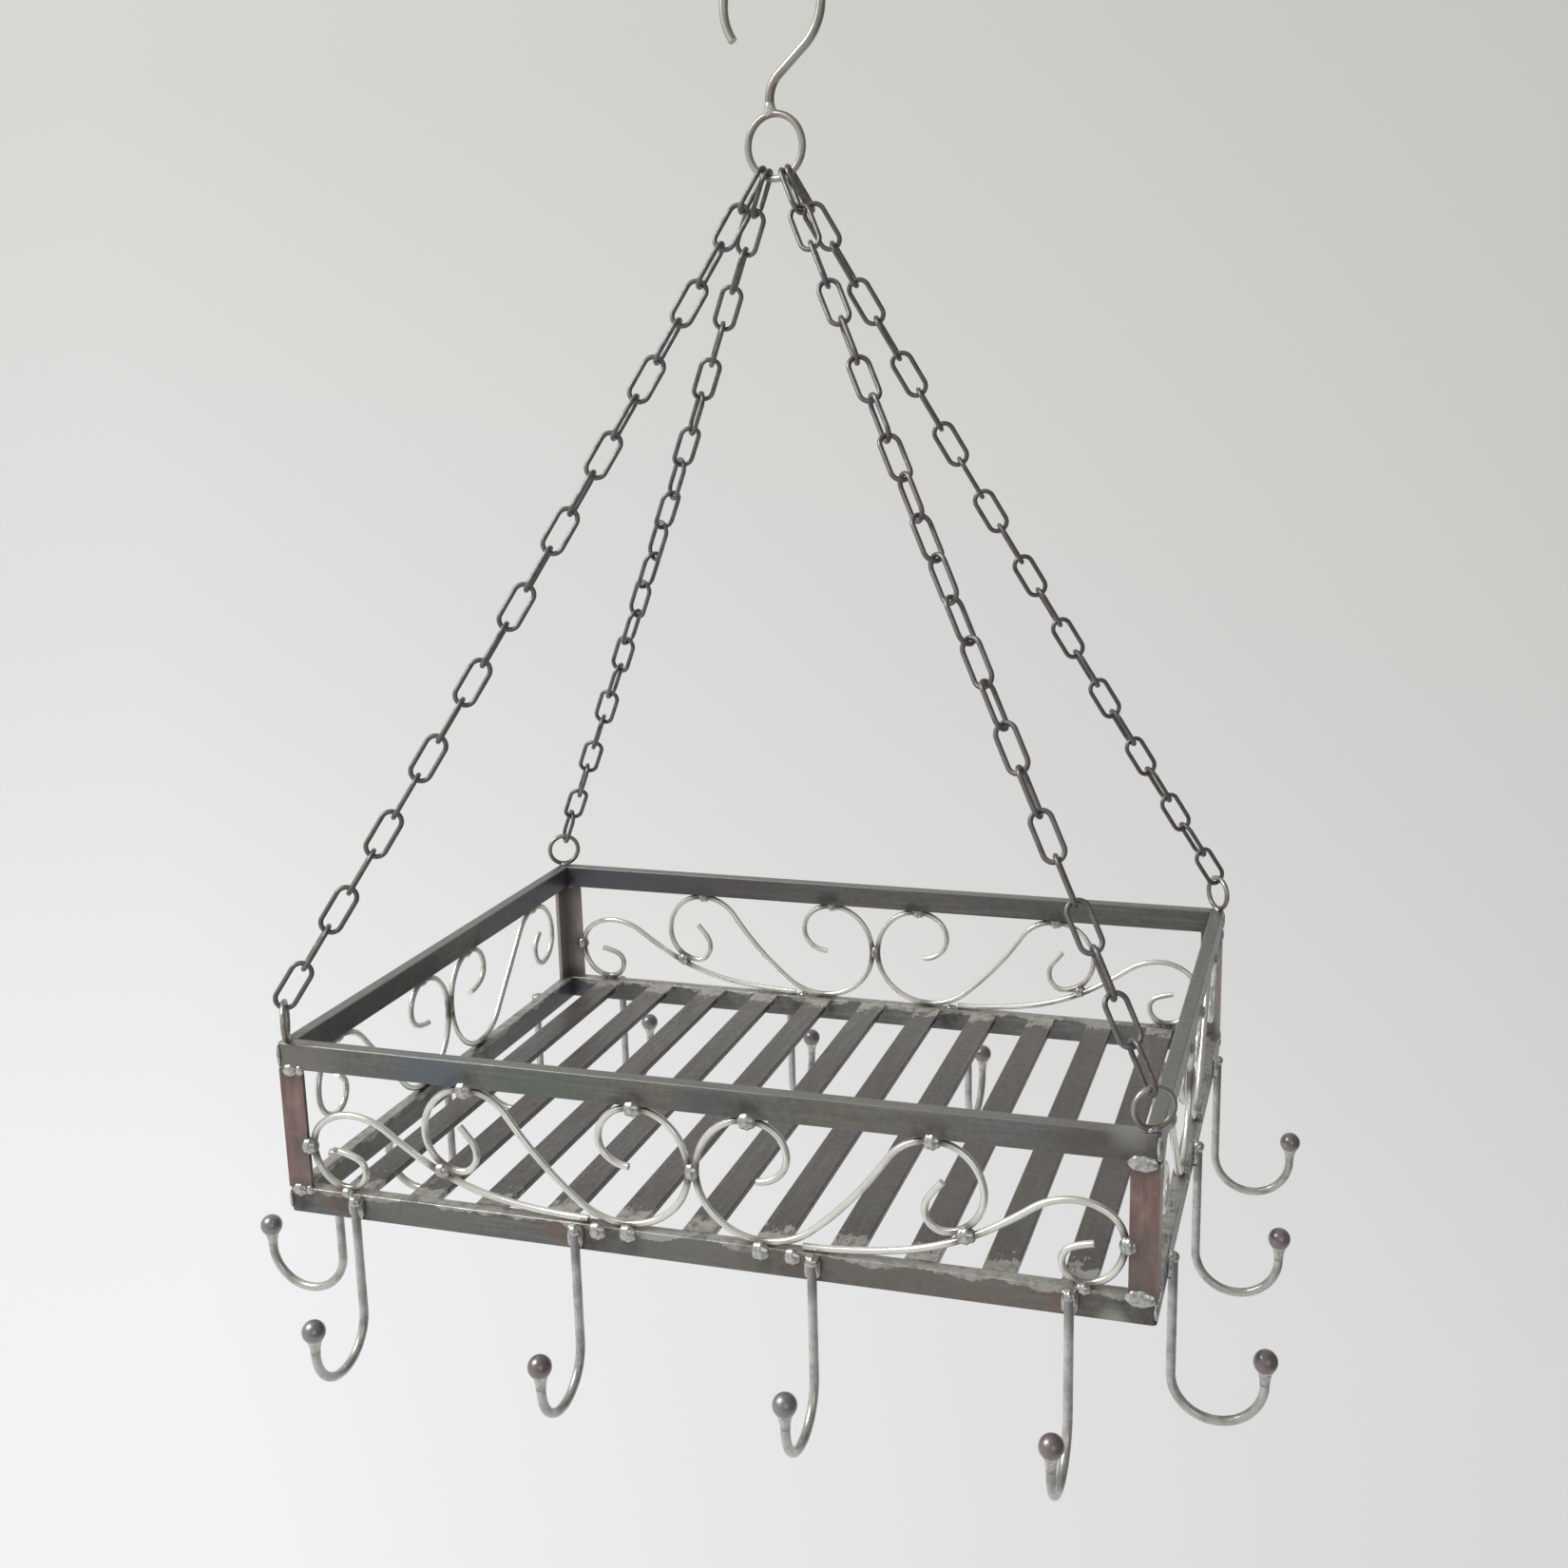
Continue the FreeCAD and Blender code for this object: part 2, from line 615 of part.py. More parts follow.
def ceiling_hook(ring_body):
    """One rod: upright neck, bend, slanting run and open loop."""
    across = ring_tangent()

    def at(x, z):
        return ring_centre() + across * x + UP * z

    lean = math.radians(size("neck_lean"))
    foot_z = size("ring_diameter") / 2 - size("neck_sink")
    bend_z = size("ring_diameter") / 2 + size("neck_straight")
    foot = at(-size("neck_offset"), foot_z)
    bend_start = at(-size("neck_offset"), bend_z)
    slant = across * math.sin(lean) + UP * math.cos(lean)
    turned = across * (1 - math.cos(lean)) + UP * math.sin(lean)
    bend_end = bend_start + turned * size("neck_bend")
    loop_start = bend_end + slant * slant_run()
    loop_centre = at(0, ring_to_loop())

    def on_loop(angle):
        aim = in_degrees(angle)
        return loop_centre + (across * aim.x + UP * aim.z) * size("loop_radius")

    free_end = on_loop(180 + size("loop_overhang"))
    edges = [
        Part.LineSegment(foot, bend_start).toShape(),
        arc_edge(bend_start, UP, bend_end),
        Part.LineSegment(bend_end, loop_start).toShape(),
        Part.Arc(loop_start, on_loop(0), on_loop(90)).toShape(),
        Part.Arc(on_loop(90), on_loop(180), free_end).toShape(),
    ]
    rod = bent_rod("ceiling_hook_rod", Part.Wire(edges), UP, "loop_rod")
    hook = doc.addObject("Part::Cut", "ceiling_hook")
    hook.Base = rod
    hook.Tool = ring_body
    finish(hook, "ceiling_hook")


def eye_centre(corner_x, corner_y, tray_top):
    """An eye stands where the middles of two upper rails cross."""
    inset = size("bar_thickness") / 2
    x = corner_x * (size("tray_width") / 2 - inset)
    y = corner_y * (size("tray_depth") / 2 - inset)
    return Vec(x, y, tray_top + size("eye_diameter") / 2)


# ------------------------------------------------------------------ chains

# chain: (corner x and y, first link's place round the ring, half turns that the
# chain is twisted by, beyond the least that brings its last link square to its eye)
CHAINS = {
    "front_left": (-1, -1, "outer_link_angle", 0),
    "back_left": (-1, 1, "inner_link_angle", -1),
    "front_right": (1, -1, "inner_link_angle", -1),
    "back_right": (1, 1, "outer_link_angle", 0),
}
NEIGHBOURS = {
    "front_left": "back_left",
    "back_left": "front_left",
    "front_right": "back_right",
    "back_right": "front_right",
}


def eye_across(name):
    """Level direction in the plane of a chain's eye."""
    return level_heading(size(f"{name}_eye"))


def ring_seat(name):
    """Centre of the ring's wire under a chain's first link."""
    side, _, place_name, _ = CHAINS[name]
    radius = (size("ring_diameter") - size("ring_wire")) / 2
    angle = math.radians(size(place_name))
    across = ring_tangent() * (side * math.sin(angle))
    return ring_centre() + (across - UP * math.cos(angle)) * radius


def eye_seat(name, tray_top):
    """Centre of the eye's wire under a chain's last link, pulled inwards."""
    corner_x, corner_y, _, _ = CHAINS[name]
    centre = eye_centre(corner_x, corner_y, tray_top)
    across = eye_across(name)
    if across.dot(centre) > 0:
        across = across * -1
    radius = (size("eye_diameter") - size("eye_wire")) / 2
    angle = math.radians(size("eye_seat_angle"))
    return centre + (across * math.sin(angle) + UP * math.cos(angle)) * radius


def chain_span():
    """Wire centre of the ring to wire centre of an eye, chain drawn out."""
    total = size("link_count")
    span = total * size("link_opening")
    span -= (size("ring_wire") + size("eye_wire")) / 2
    return span - size("sway_clearance") - total * size("link_clearance")


def tray_level():
    """Height of the tray's top, which the chains on the outer seats set."""
    seat = ring_seat("front_left")
    level_end = eye_seat("front_left", 0)
    out = math.hypot(level_end.x - seat.x, level_end.y - seat.y)
    drop = math.sqrt(chain_span() ** 2 - out**2)
    return seat.z - drop - level_end.z


def make_link():
    """One oval link, upright, its opening facing along X."""
    bend_radius = "({link_width} - {link_wire}) / 2"
    straight = size("link_opening") + 2 * size("link_wire") - size("link_width")
    offset = (size("link_width") - size("link_wire")) / 2
    face_x = FreeCAD.Rotation(ALONG_Y, UP, ALONG_X, "ZXY")
    pieces = []
    for end, flip in ((1, 0), (-1, 180)):
        bend = doc.addObject("Part::Torus", "link_bend")
        bind(bend, "Radius1", bend_radius)
        bind(bend, "Radius2", "{link_wire} / 2")
        bend.Angle3 = 180
        turn = FreeCAD.Rotation(ALONG_X, flip).multiply(face_x)
        bend.Placement = FreeCAD.Placement(UP * (end * straight / 2), turn)
        pieces.append(bend)
    for hand in (-1, 1):
        side = doc.addObject("Part::Cylinder", "link_side")
        bind(side, "Radius", "{link_wire} / 2")
        bind(side, "Height", "{link_opening} + 2 * {link_wire} - {link_width}")
        side.Placement.Base = Vec(0, hand * offset, -straight / 2)
        pieces.append(side)
    link = doc.addObject("Part::MultiFuse", "link_pattern")
    link.Shapes = pieces
    doc.recompute()
    return link


def across_chain(direction, aim):
    """The part of a direction that is square to a chain, at unit length."""
    return (direction - aim * direction.dot(aim)).normalize()


def signed_turn(start, end, axis):
    """Angle in degrees from one direction to another about an axis."""
    return math.degrees(math.atan2(start.cross(end).dot(axis), start.dot(end)))


def link_centres(gap):
    """Distances of the link centres from the ring's wire, down the chain."""
    distance = size("link_opening") / 2 - size("ring_wire") / 2 - gap
    centres = [distance]
    for number in range(1, count("link_count")):
        joint_gap = size("sway_clearance") if number == 1 else gap
        distance += size("link_opening") - joint_gap
        centres.append(distance)
    return centres


def chain_links(link_shape, seat, end, first_facing, last_facing, half_turns):
    """Links from a seat on the ring to an eye, each a quarter turn on."""
    span = end - seat
    length = span.Length
    aim = Vec(span).normalize()
    sag_way = across_chain(DOWN, aim)
    total = count("link_count")
    slack = total * size("link_opening") - length
    slack -= (size("ring_wire") + size("eye_wire")) / 2
    gap = (slack - size("sway_clearance")) / total
    start_face = across_chain(first_facing, aim)
    turn = signed_turn(start_face, across_chain(last_facing, aim), aim)
    quarter_turns = 90 * (total - 1)
    least_twist = (turn - quarter_turns + 90) % 180 - 90
    twist = least_twist + 180 * half_turns
    step = 90 + twist / (total - 1)
    links = []
    for number, distance in enumerate(link_centres(gap)):
        share = distance / length
        drop = 4 * size("chain_sag") * share * (1 - share)
        centre = seat + aim * distance + sag_way * drop
        slope = 4 * size("chain_sag") * (1 - 2 * share) / length
        along = (aim + sag_way * slope).normalize()
        roll = FreeCAD.Rotation(aim, number * step)
        face = across_chain(roll.multVec(start_face), along)
        axes = FreeCAD.Rotation(face, Vec(), along * -1, "ZXY")
        piece = link_shape.copy()
        piece.Placement = FreeCAD.Placement(centre, axes)
        links.append(piece)
    return links


def first_link_facing(name, tray_top):
    """The way a first link's opening faces.

    Two first links share each side of the ring and cross each other, so both
    lie in planes that hold both of their chains' directions.
    """
    other = NEIGHBOURS[name]
    aim = eye_seat(name, tray_top) - ring_seat(name)
    other_aim = eye_seat(other, tray_top) - ring_seat(other)
    facing = aim.cross(other_aim)
    return facing if facing.dot(ring_tangent()) > 0 else facing * -1


def chains(tray_top):
    """Four chains: the first links turn on the ring apart from the rest."""
    link_shape = make_link().Shape
    first_links = []
    for name, (corner_x, corner_y, _, half_turns) in CHAINS.items():
        facing = first_link_facing(name, tray_top)
        across = eye_across(name)
        ends = (ring_seat(name), eye_seat(name, tray_top))
        links = chain_links(link_shape, *ends, facing, across, half_turns)
        first_links.append(links[0])
        chain = doc.addObject("Part::Feature", f"chain_{name}")
        chain.Shape = Part.Compound(links[1:])
        finish(chain, f"chain_{name}")
        label = f"corner_eye_{name}"
        centre = eye_centre(corner_x, corner_y, tray_top)
        finish(ring(label, "eye_diameter", "eye_wire", centre, across), label)
    upper = doc.addObject("Part::Feature", "chain_first_links")
    upper.Shape = Part.Compound(first_links)
    finish(upper, "chain_first_links")


# ---------------------------------------------------------------- assembly


def tray(tray_top):
    """Two rail frames, four posts, the slatted floor and its trimmings."""
    upper_underside = tray_top - size("bar_height")
    lower_underside = tray_top - size("tray_height")
    lower_top = lower_underside + size("bar_height")
    rail_frame("upper", upper_underside)
    rail_frame("lower", lower_underside)
    half_x, half_y = size("tray_width") / 2, size("tray_depth") / 2
    corner_post("corner_post_front_left", Vec(-half_x, -half_y), 0, lower_top)
    corner_post("corner_post_front_right", Vec(half_x, -half_y), 90, lower_top)
    corner_post("corner_post_back_right", Vec(half_x, half_y), 180, lower_top)
    corner_post("corner_post_back_left", Vec(-half_x, half_y), 270, lower_top)
    floor_slats(lower_top)
    scrollwork(lower_top)
    pot_hooks(lower_top)


def check_document():
    """Stop before anything is written if a feature failed."""
    for thing in doc.Objects:
        if "Invalid" in thing.State or "Error" in thing.State:
            raise RuntimeError(f"{thing.Label} failed: {thing.State}")
    for node in nodes:
        if node.Shape.isNull() or not node.Shape.isValid():
            raise RuntimeError(f"{node.Label} has no valid shape")


def write_parts():
    os.makedirs("parts", exist_ok=True)
    for node in nodes:
        node.Shape.exportStep(f"parts/{node.Label}.step")
        solids = len(node.Shape.Solids)
        print(f"{node.Label}: {solids} solid(s), {node.Shape.Volume:.0f} mm3")


top_ring = ring("top_ring", "ring_diameter", "ring_wire", ring_centre(), ring_tangent())
finish(top_ring, "top_ring")
ceiling_hook(top_ring)
top_level = tray_level()
chains(top_level)
tray(top_level)
doc.recompute()
check_document()
write_parts()
print(f"{len(nodes)} nodes; ring centre z {ring_centre().z:.2f}, tray top z {top_level:.2f}")
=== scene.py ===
"""Hanging pot rack: finishes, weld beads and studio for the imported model.

Lengths in the property groups are in millimetres and everything in the scene
is in metres.  The origin is the inside top of the ceiling hook, +X runs along
the front rail, +Y to the back rail and +Z up.
"""

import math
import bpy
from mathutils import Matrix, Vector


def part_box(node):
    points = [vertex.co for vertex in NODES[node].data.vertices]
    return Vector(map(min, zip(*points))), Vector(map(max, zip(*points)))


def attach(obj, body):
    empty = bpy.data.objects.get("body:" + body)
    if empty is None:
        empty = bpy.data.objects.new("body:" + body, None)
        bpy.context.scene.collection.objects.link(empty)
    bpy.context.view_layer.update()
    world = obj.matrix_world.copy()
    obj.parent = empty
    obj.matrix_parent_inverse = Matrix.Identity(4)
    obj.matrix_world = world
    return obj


bl_info = {
    "name": "Hanging pot rack",
    "version": (1, 0, 0),
    "blender": (4, 5, 0),
    "location": "View3D > Sidebar > Pot rack",
    "description": "Finishes, weld beads and studio of a hanging pot rack",
    "category": "Object",
}

import bmesh
import bpy
from bpy.props import FloatProperty, FloatVectorProperty, IntProperty, PointerProperty
from mathutils import Euler, Matrix, Vector

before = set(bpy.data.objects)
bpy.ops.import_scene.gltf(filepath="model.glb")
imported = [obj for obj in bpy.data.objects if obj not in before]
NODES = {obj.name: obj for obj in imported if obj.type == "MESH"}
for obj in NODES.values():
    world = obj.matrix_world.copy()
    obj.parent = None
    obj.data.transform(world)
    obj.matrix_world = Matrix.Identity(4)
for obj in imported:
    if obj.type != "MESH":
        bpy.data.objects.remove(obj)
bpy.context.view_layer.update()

MM = 0.001


def colour(hex_code):
    """An sRGB hex value as linear red, green and blue."""
    channels = [int(hex_code[i : i + 2], 16) / 255 for i in (1, 3, 5)]
    return tuple(
        c / 12.92 if c <= 0.04045 else ((c + 0.055) / 1.055) ** 2.4 for c in channels
    )


def shade_of(name):
    """One of the named shades, in linear colour."""
    return colour(SHADES[name])


def swatch(name, hex_code, description):
    """A colour property with its default."""
    return FloatVectorProperty(
        name=name,
        description=description,
        subtype="COLOR",
        size=3,
        min=0.0,
        max=1.0,
        default=colour(hex_code),
    )


def length(name, default, description):
    """A length property in millimetres."""
    return FloatProperty(name=name, description=description, default=default, min=0.0)


# ------------------------------------------------------- measures of the rack

RAIL_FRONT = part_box("lower_rail_front")
RAIL_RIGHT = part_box("lower_rail_right")
UPPER_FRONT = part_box("upper_rail_front")
HOOK_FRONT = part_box("pot_hook_front_1")
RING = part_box("top_ring")

FACE_X = RAIL_RIGHT[1].x
FACE_Y = -RAIL_FRONT[0].y
LOWER_TOP = RAIL_FRONT[1].z
UPPER_UNDERSIDE = UPPER_FRONT[0].z
TRAY_TOP = UPPER_FRONT[1].z
BALL_RADIUS = 8 * MM
BALL_OUT = -HOOK_FRONT[0].y - FACE_Y - BALL_RADIUS
BALL_DROP = 69.3 * MM
BALL_CENTRE = LOWER_TOP - BALL_DROP
RING_CENTRE = (RING[0] + RING[1]) / 2
RING_RADIUS = (RING[1].z - RING[0].z) / 2
RING_HEADING = math.radians(-10)
EYE_HEADINGS = {
    "front_left": 119,
    "back_left": 33,
    "front_right": 30,
    "back_right": -50,
}

# In millimetres: between two pot hooks, between the middles of an upper and a
# lower rail, and from the ring's middle to the ceiling hook's weld.
HOOK_PITCH = 167.4
RAIL_DROP = 108
WELD_SHIFT = -3.4

SIDE = Vector((1, 0, 0))
FRONT = Vector((0, 1, 0))
CORNER = Vector((1, 1, 0)).normalized()


def at(x, y, z):
    """A point from millimetres."""
    return Vector((x, y, z)) * MM


# A weld is (place, way it faces, length, height, how far it stands off), with
# its place folded into the quarter of the rack where x and y are positive.


def scroll_welds():
    """Folded welds of the scrollwork."""
    upper, lower = UPPER_UNDERSIDE / MM, LOWER_TOP / MM
    front, side = FACE_Y / MM, FACE_X / MM
    return [
        (at(40, front - 2.0, upper - 2.0), FRONT, 14.5, 13.5, 5.4),
        (at(163, front - 2.0, upper - 2.0), FRONT, 14, 13.5, 5.4),
        (at(47, front - 1.5, lower - 3.5), FRONT, 14.5, 13.5, 4.4),
        (at(69, front - 1.5, lower - 4.5), FRONT, 14.5, 13.5, 4.6),
        (at(259, front - 1.5, lower - 0.5), FRONT, 12, 9, 3.8),
        (at(0, front - 3.4, lower + 46), FRONT, 10, 13, 4.4),
        (at(184, front - 3.0, lower + 25), FRONT, 14, 12.5, 5.0),
        (at(286.6, front - 2.0, lower + 32), FRONT, 12, 13, 5.2),
        (at(side - 2.0, 37, upper - 2.0), SIDE, 14, 13, 5.0),
        (at(side - 2.0, 158, upper - 2.0), SIDE, 14, 13, 5.0),
        (at(side - 1.5, 48, lower - 3.5), SIDE, 14, 13, 4.2),
        (at(side - 3.4, 0, lower + 50), SIDE, 8, 24, 3.6),
    ]


def post_welds():
    """Folded welds of the left corners, of the right corners and of all four."""
    front, side = FACE_Y / MM, FACE_X / MM
    middle = (TRAY_TOP + UPPER_UNDERSIDE) / 2 / MM
    left, right, every = [], [], []
    for height in (LOWER_TOP / MM - 2.0, UPPER_UNDERSIDE / MM - 1.0):
        left.append((at(side - 8, front - 0.5, height), FRONT, 12.5, 10.5, 2.8))
        left.append((at(side - 16, front - 0.5, height + 0.5), FRONT, 6.5, 8, 2.0))
        right.append((at(side - 10.5, front - 0.5, height), FRONT, 20, 12, 2.8))
        every.append((at(side - 0.5, front - 9.5, height), SIDE, 15, 10, 2.2))
    every.append((at(side - 0.5, front - 0.5, middle), CORNER, 4.5, 17, 1.6))
    below = at(side - 0.5, front - 0.5, middle - RAIL_DROP)
    every.append((below, CORNER, 4, 13, 1.3))
    return left, right, every


def pot_hook_welds():
    """Folded welds either side of each pot hook's stem and on its top."""
    lower, front, side = LOWER_TOP / MM, FACE_Y / MM, FACE_X / MM
    shift = 3.1
    flank, top = (6.2, 18.0, 4.2), (9.5, 9.0, 4.6)
    places = []
    for x in (HOOK_PITCH / 2, HOOK_PITCH * 1.5):
        for beside_stem in (x - shift, x + shift):
            places.append((at(beside_stem, front + 1.0, lower - 8.5), FRONT, *flank))
        places.append((at(x, front + 3.0, lower - 3.6), FRONT, *top))
    for y in (0.0, HOOK_PITCH):
        for beside_stem in (y - shift, y + shift):
            if beside_stem > 0:
                places.append((at(side + 1.0, beside_stem, lower - 8.5), SIDE, *flank))
        places.append((at(side + 3.0, y, lower - 3.6), SIDE, *top))
    return places


SCROLL_HEAT = [weld[0] for weld in scroll_welds()]
RAIL_HEAT = SCROLL_HEAT + [weld[0] for group in post_welds()[1:] for weld in group]

# Tinted stretches of the rails: place, reach of the full tint and of its edge
# in mm, shade and strength.
STAINS = [
    (at(-292, -228, -740), 4, 48, "#88837B", 0.75),
    (at(-188, -228, -742), 6, 40, "#57626E", 0.70),
    (at(-105, -228, -740), 8, 62, "#5C6A5D", 0.55),
    (at(15, -228, -744), 6, 34, "#4F5254", 0.45),
    (at(262, -228, -746), 6, 42, "#5A514B", 0.65),
    (at(-266, -227, -839), 6, 24, "#6B5952", 0.65),
    (at(-97, -227, -840), 7, 18, "#745C50", 0.70),
    (at(75, -227, -840), 6, 17, "#6A584D", 0.70),
    (at(246, -227, -840), 7, 20, "#745A4E", 0.75),
    (at(288, -221, -729), 3, 22, "#A8A7A2", 0.55),
    (at(-200, -228, -852), 10, 60, "#75776F", 0.50),
    (at(0, -228, -852), 20, 80, "#777570", 0.50),
    (at(150, -228, -850), 60, 150, "#776D66", 0.50),
    (at(278, -228, -859), 4, 13, "#A3A49D", 0.65),
    (at(-298, 190, -741), 60, 190, "#4C4B58", 0.75),
    (at(-300, -120, -741), 50, 140, "#4E4D55", 0.55),
    (at(-170, 222, -741), 40, 150, "#595358", 0.55),
]


# Shades laid over a paint where the name says; the paints are properties below.
SHADES = {
    "drawing mark": "#96958F",
    "bar beside bead": "#5E514A",
    "ground, dull": "#8B8079",
    "ground beside bead": "#60544D",
    "worn bar edge with painted highlight": "#85847F",
    "slats to the right, painted shade": "#5B5553",
    "painted shade on slat sides": "#353331",
    "post streak": "#5C4A46",
    "post, pale": "#94837B",
    "post, leaden": "#6A6562",
    "post at the back, painted lighter": "#9A948F",
    "post beside bead": "#55504D",
    "scroll rod cloud": "#C0C0B9",
    "scroll rod speck": "#7C7870",
    "hook speck": "#5F5C57",
    "hook stem heated": "#6C6863",
    "ball rust": "#7D6E69",
    "chain, blued": "#70767A",
    "chain, warm": "#6E5E5C",
    "chain, rubbed and glinting": "#BDBAB3",
    "eye cloud": "#74716B",
    "hanger cloud": "#7A766E",
    "hanger, warm": "#8D877B",
    "ring's joint": "#4A4642",
    "bead soot": "#7D7B78",
    "neck": "#C3C1BB",
    "neck soot": "#8A8782",
    "sky": "#F6F6F3",
}


# ------------------------------------------------------------ property groups


class PotRackFinish(bpy.types.PropertyGroup):
    """Colours of the rack's steel."""

    bar: swatch("Flat bar", "#696A64", "Mill scale of the rails")
    slat: swatch("Slat", "#6A6663", "Mill scale of the floor slats")
    bar_blue: swatch("Bar, blued", "#666B6D", "Blue patches on the bar")
    bar_brown: swatch("Bar, browned", "#75685F", "Brown patches on the bar")
    bar_dark: swatch("Bar, burnt", "#303433", "Dark ring round a weld")
    ground: swatch("Ground steel", "#B7B6B1", "Patches ground bright beside welds")
    post: swatch("Post", "#866C66", "Reddish scale of the corner posts")
    rod: swatch("Scroll rod", "#E7E7E1", "Bright rod of the scrollwork")
    rod_straw: swatch("Scroll rod, straw", "#ADA897", "Rod tinted near a weld")
    rod_dark: swatch("Scroll rod, burnt", "#675F58", "Rod darkened beside a weld")
    hook: swatch("Pot hook rod", "#C3C2BD", "Rod of the pot hooks")
    hook_dark: swatch("Pot hook rod, dark", "#8B8A86", "Cloudy scale on that rod")
    ball: swatch("Ball", "#8E8C8D", "Forged balls on the pot hooks")
    chain: swatch("Chain wire", "#757370", "Wire of the chains")
    chain_dark: swatch("Chain wire, dark", "#504F4C", "Cloudy scale on that wire")
    eye: swatch("Eye wire", "#A3A19B", "Wire of the corner eyes")
    hanger: swatch("Ceiling hook rod", "#A8A69F", "Rod of ceiling hook and ring")
    browned: swatch("Browned wire", "#75695F", "Eyes and hanger next to their welds")
    bead: swatch("Weld bead", "#BFBFBC", "Bare weld metal")


class PotRackWelds(bpy.types.PropertyGroup):
    """Sizes of the weld beads and of the necks under the balls."""

    ripples: FloatProperty(
        name="Ripples", description="Ripples along one bead", default=3.0, min=1.0
    )
    ripple_depth: FloatProperty(
        name="Ripple depth",
        description="Depth of a ripple as a share of the bead",
        default=0.05,
        min=0.0,
        max=0.5,
    )
    unevenness: FloatProperty(
        name="Unevenness",
        description="Change in size from bead to bead, as a share",
        default=0.14,
        min=0.0,
        max=0.5,
    )
    lump_size: length("Lump size", 4.4, "Distance between lumps on a bead, mm")
    lump_depth: length("Lump depth", 0.9, "Height of those lumps, mm")
    neck_height: length("Neck height", 10.0, "Weld neck under a ball, mm")
    seed: IntProperty(name="Seed", description="Seed of the unevenness", default=7)


class PotRackStudio(bpy.types.PropertyGroup):
    """Backdrop and light."""

    top_left: swatch("Top left", "#DDDED9", "Backdrop's colour at the top left")
    top_right: swatch("Top right", "#C8C9C3", "Backdrop's colour at the top right")
    low_left: swatch("Low left", "#F7F7F9", "Backdrop's colour at the lower left")
    low_right: swatch("Low right", "#DCDCDC", "Backdrop's colour at the lower right")
    key: FloatProperty(
        name="Key", description="Power of the key light, W", default=60.0
    )
    fill: FloatProperty(name="Fill", description="Power of the fill, W", default=8.0)
    sky: FloatProperty(name="Sky", description="Strength of the world", default=0.60)


# ------------------------------------------------------------------ materials


def add(tree, kind, inputs=None, **settings):
    """A node with its settings, its sockets set or linked."""
    node = tree.nodes.new(kind)
    for name, value in settings.items():
        setattr(node, name, value)
    for key, value in (inputs or {}).items():
        socket = node.inputs[key]
        if isinstance(value, bpy.types.NodeSocket):
            tree.links.new(value, socket)
        else:
            socket.default_value = value
    return node


def new_material(name):
    """An empty node material, its tree, and the place on the piece.

    The place is given as it is and folded into the quarter where x and y are
    positive.  The rack hangs below z = 0, so the fold keeps z negative.
    """
    material = bpy.data.materials.new(name)
    material.use_nodes = True
    tree = material.node_tree
    tree.nodes.clear()
    point = add(tree, "ShaderNodeTexCoord").outputs["Object"]
    folded = add(tree, "ShaderNodeVectorMath", {0: point}, operation="ABSOLUTE")
    quarter = add(
        tree,
        "ShaderNodeVectorMath",
        {0: folded.outputs[0], 1: (1, 1, -1)},
        operation="MULTIPLY",
    )
    return material, tree, point, quarter.outputs[0]


def blotches(tree, point, size_mm, low, high, detail=4.0, stretch=(1, 1, 1)):
    """A cloudy mask from 0 to 1 whose patches are about size_mm across."""
    scaled = add(tree, "ShaderNodeMapping", {"Vector": point, "Scale": stretch})
    noise = add(
        tree,
        "ShaderNodeTexNoise",
        {
            "Vector": scaled.outputs[0],
            "Scale": 1 / (size_mm * MM),
            "Detail": detail,
            "Roughness": 0.6,
        },
    )
    return add(
        tree,
        "ShaderNodeMapRange",
        {"Value": noise.outputs["Fac"], "From Min": low, "From Max": high},
        interpolation_type="SMOOTHSTEP",
    ).outputs[0]


def beside(tree, point, places, *reaches):
    """Masks round the nearest of the places, full at the first reach and gone
    at the second, in millimetres."""
    nearest = None
    for place in places:
        away = add(
            tree,
            "ShaderNodeVectorMath",
            {0: point, 1: tuple(place)},
            operation="DISTANCE",
        ).outputs["Value"]
        if nearest is None:
            nearest = away
        else:
            nearest = add(
                tree, "ShaderNodeMath", {0: nearest, 1: away}, operation="MINIMUM"
            ).outputs[0]
    return [
        add(
            tree,
            "ShaderNodeMapRange",
            {"Value": nearest, "From Min": full * MM, "From Max": gone * MM,
             "To Min": 1.0, "To Max": 0.0},
            interpolation_type="SMOOTHSTEP",
        ).outputs[0]
        for full, gone in reaches
    ]


def past(tree, point, axis, start, end, ragged=()):
    """A mask that rises from start to end along an axis.

    Each pair in ragged, a mask and a depth in millimetres, frays the edge.
    """
    level = add(tree, "ShaderNodeSeparateXYZ", {0: point}).outputs[axis]
    for mask, depth in ragged:
        level = add(
            tree,
            "ShaderNodeMath",
            {0: mask, 1: depth * MM, 2: level},
            operation="MULTIPLY_ADD",
        ).outputs[0]
    return add(
        tree,
        "ShaderNodeMapRange",
        {"Value": level, "From Min": start, "From Max": end},
        interpolation_type="SMOOTHSTEP",
    ).outputs[0]


def tint(tree, paint, shade, share, *masks):
    """Lays a shade over the paint, up to a share, where all the masks are."""
    factor = share
    for mask in masks:
        factor = add(
            tree, "ShaderNodeMath", {0: factor, 1: mask}, operation="MULTIPLY"
        ).outputs[0]
    over = [
        value if isinstance(value, bpy.types.NodeSocket) else (*value, 1.0)
        for value in (paint, shade)
    ]
    mixed = add(
        tree,
        "ShaderNodeMix",
        {"Factor": factor, 6: over[0], 7: over[1]},
        data_type="RGBA",
    )
    return mixed.outputs[2]


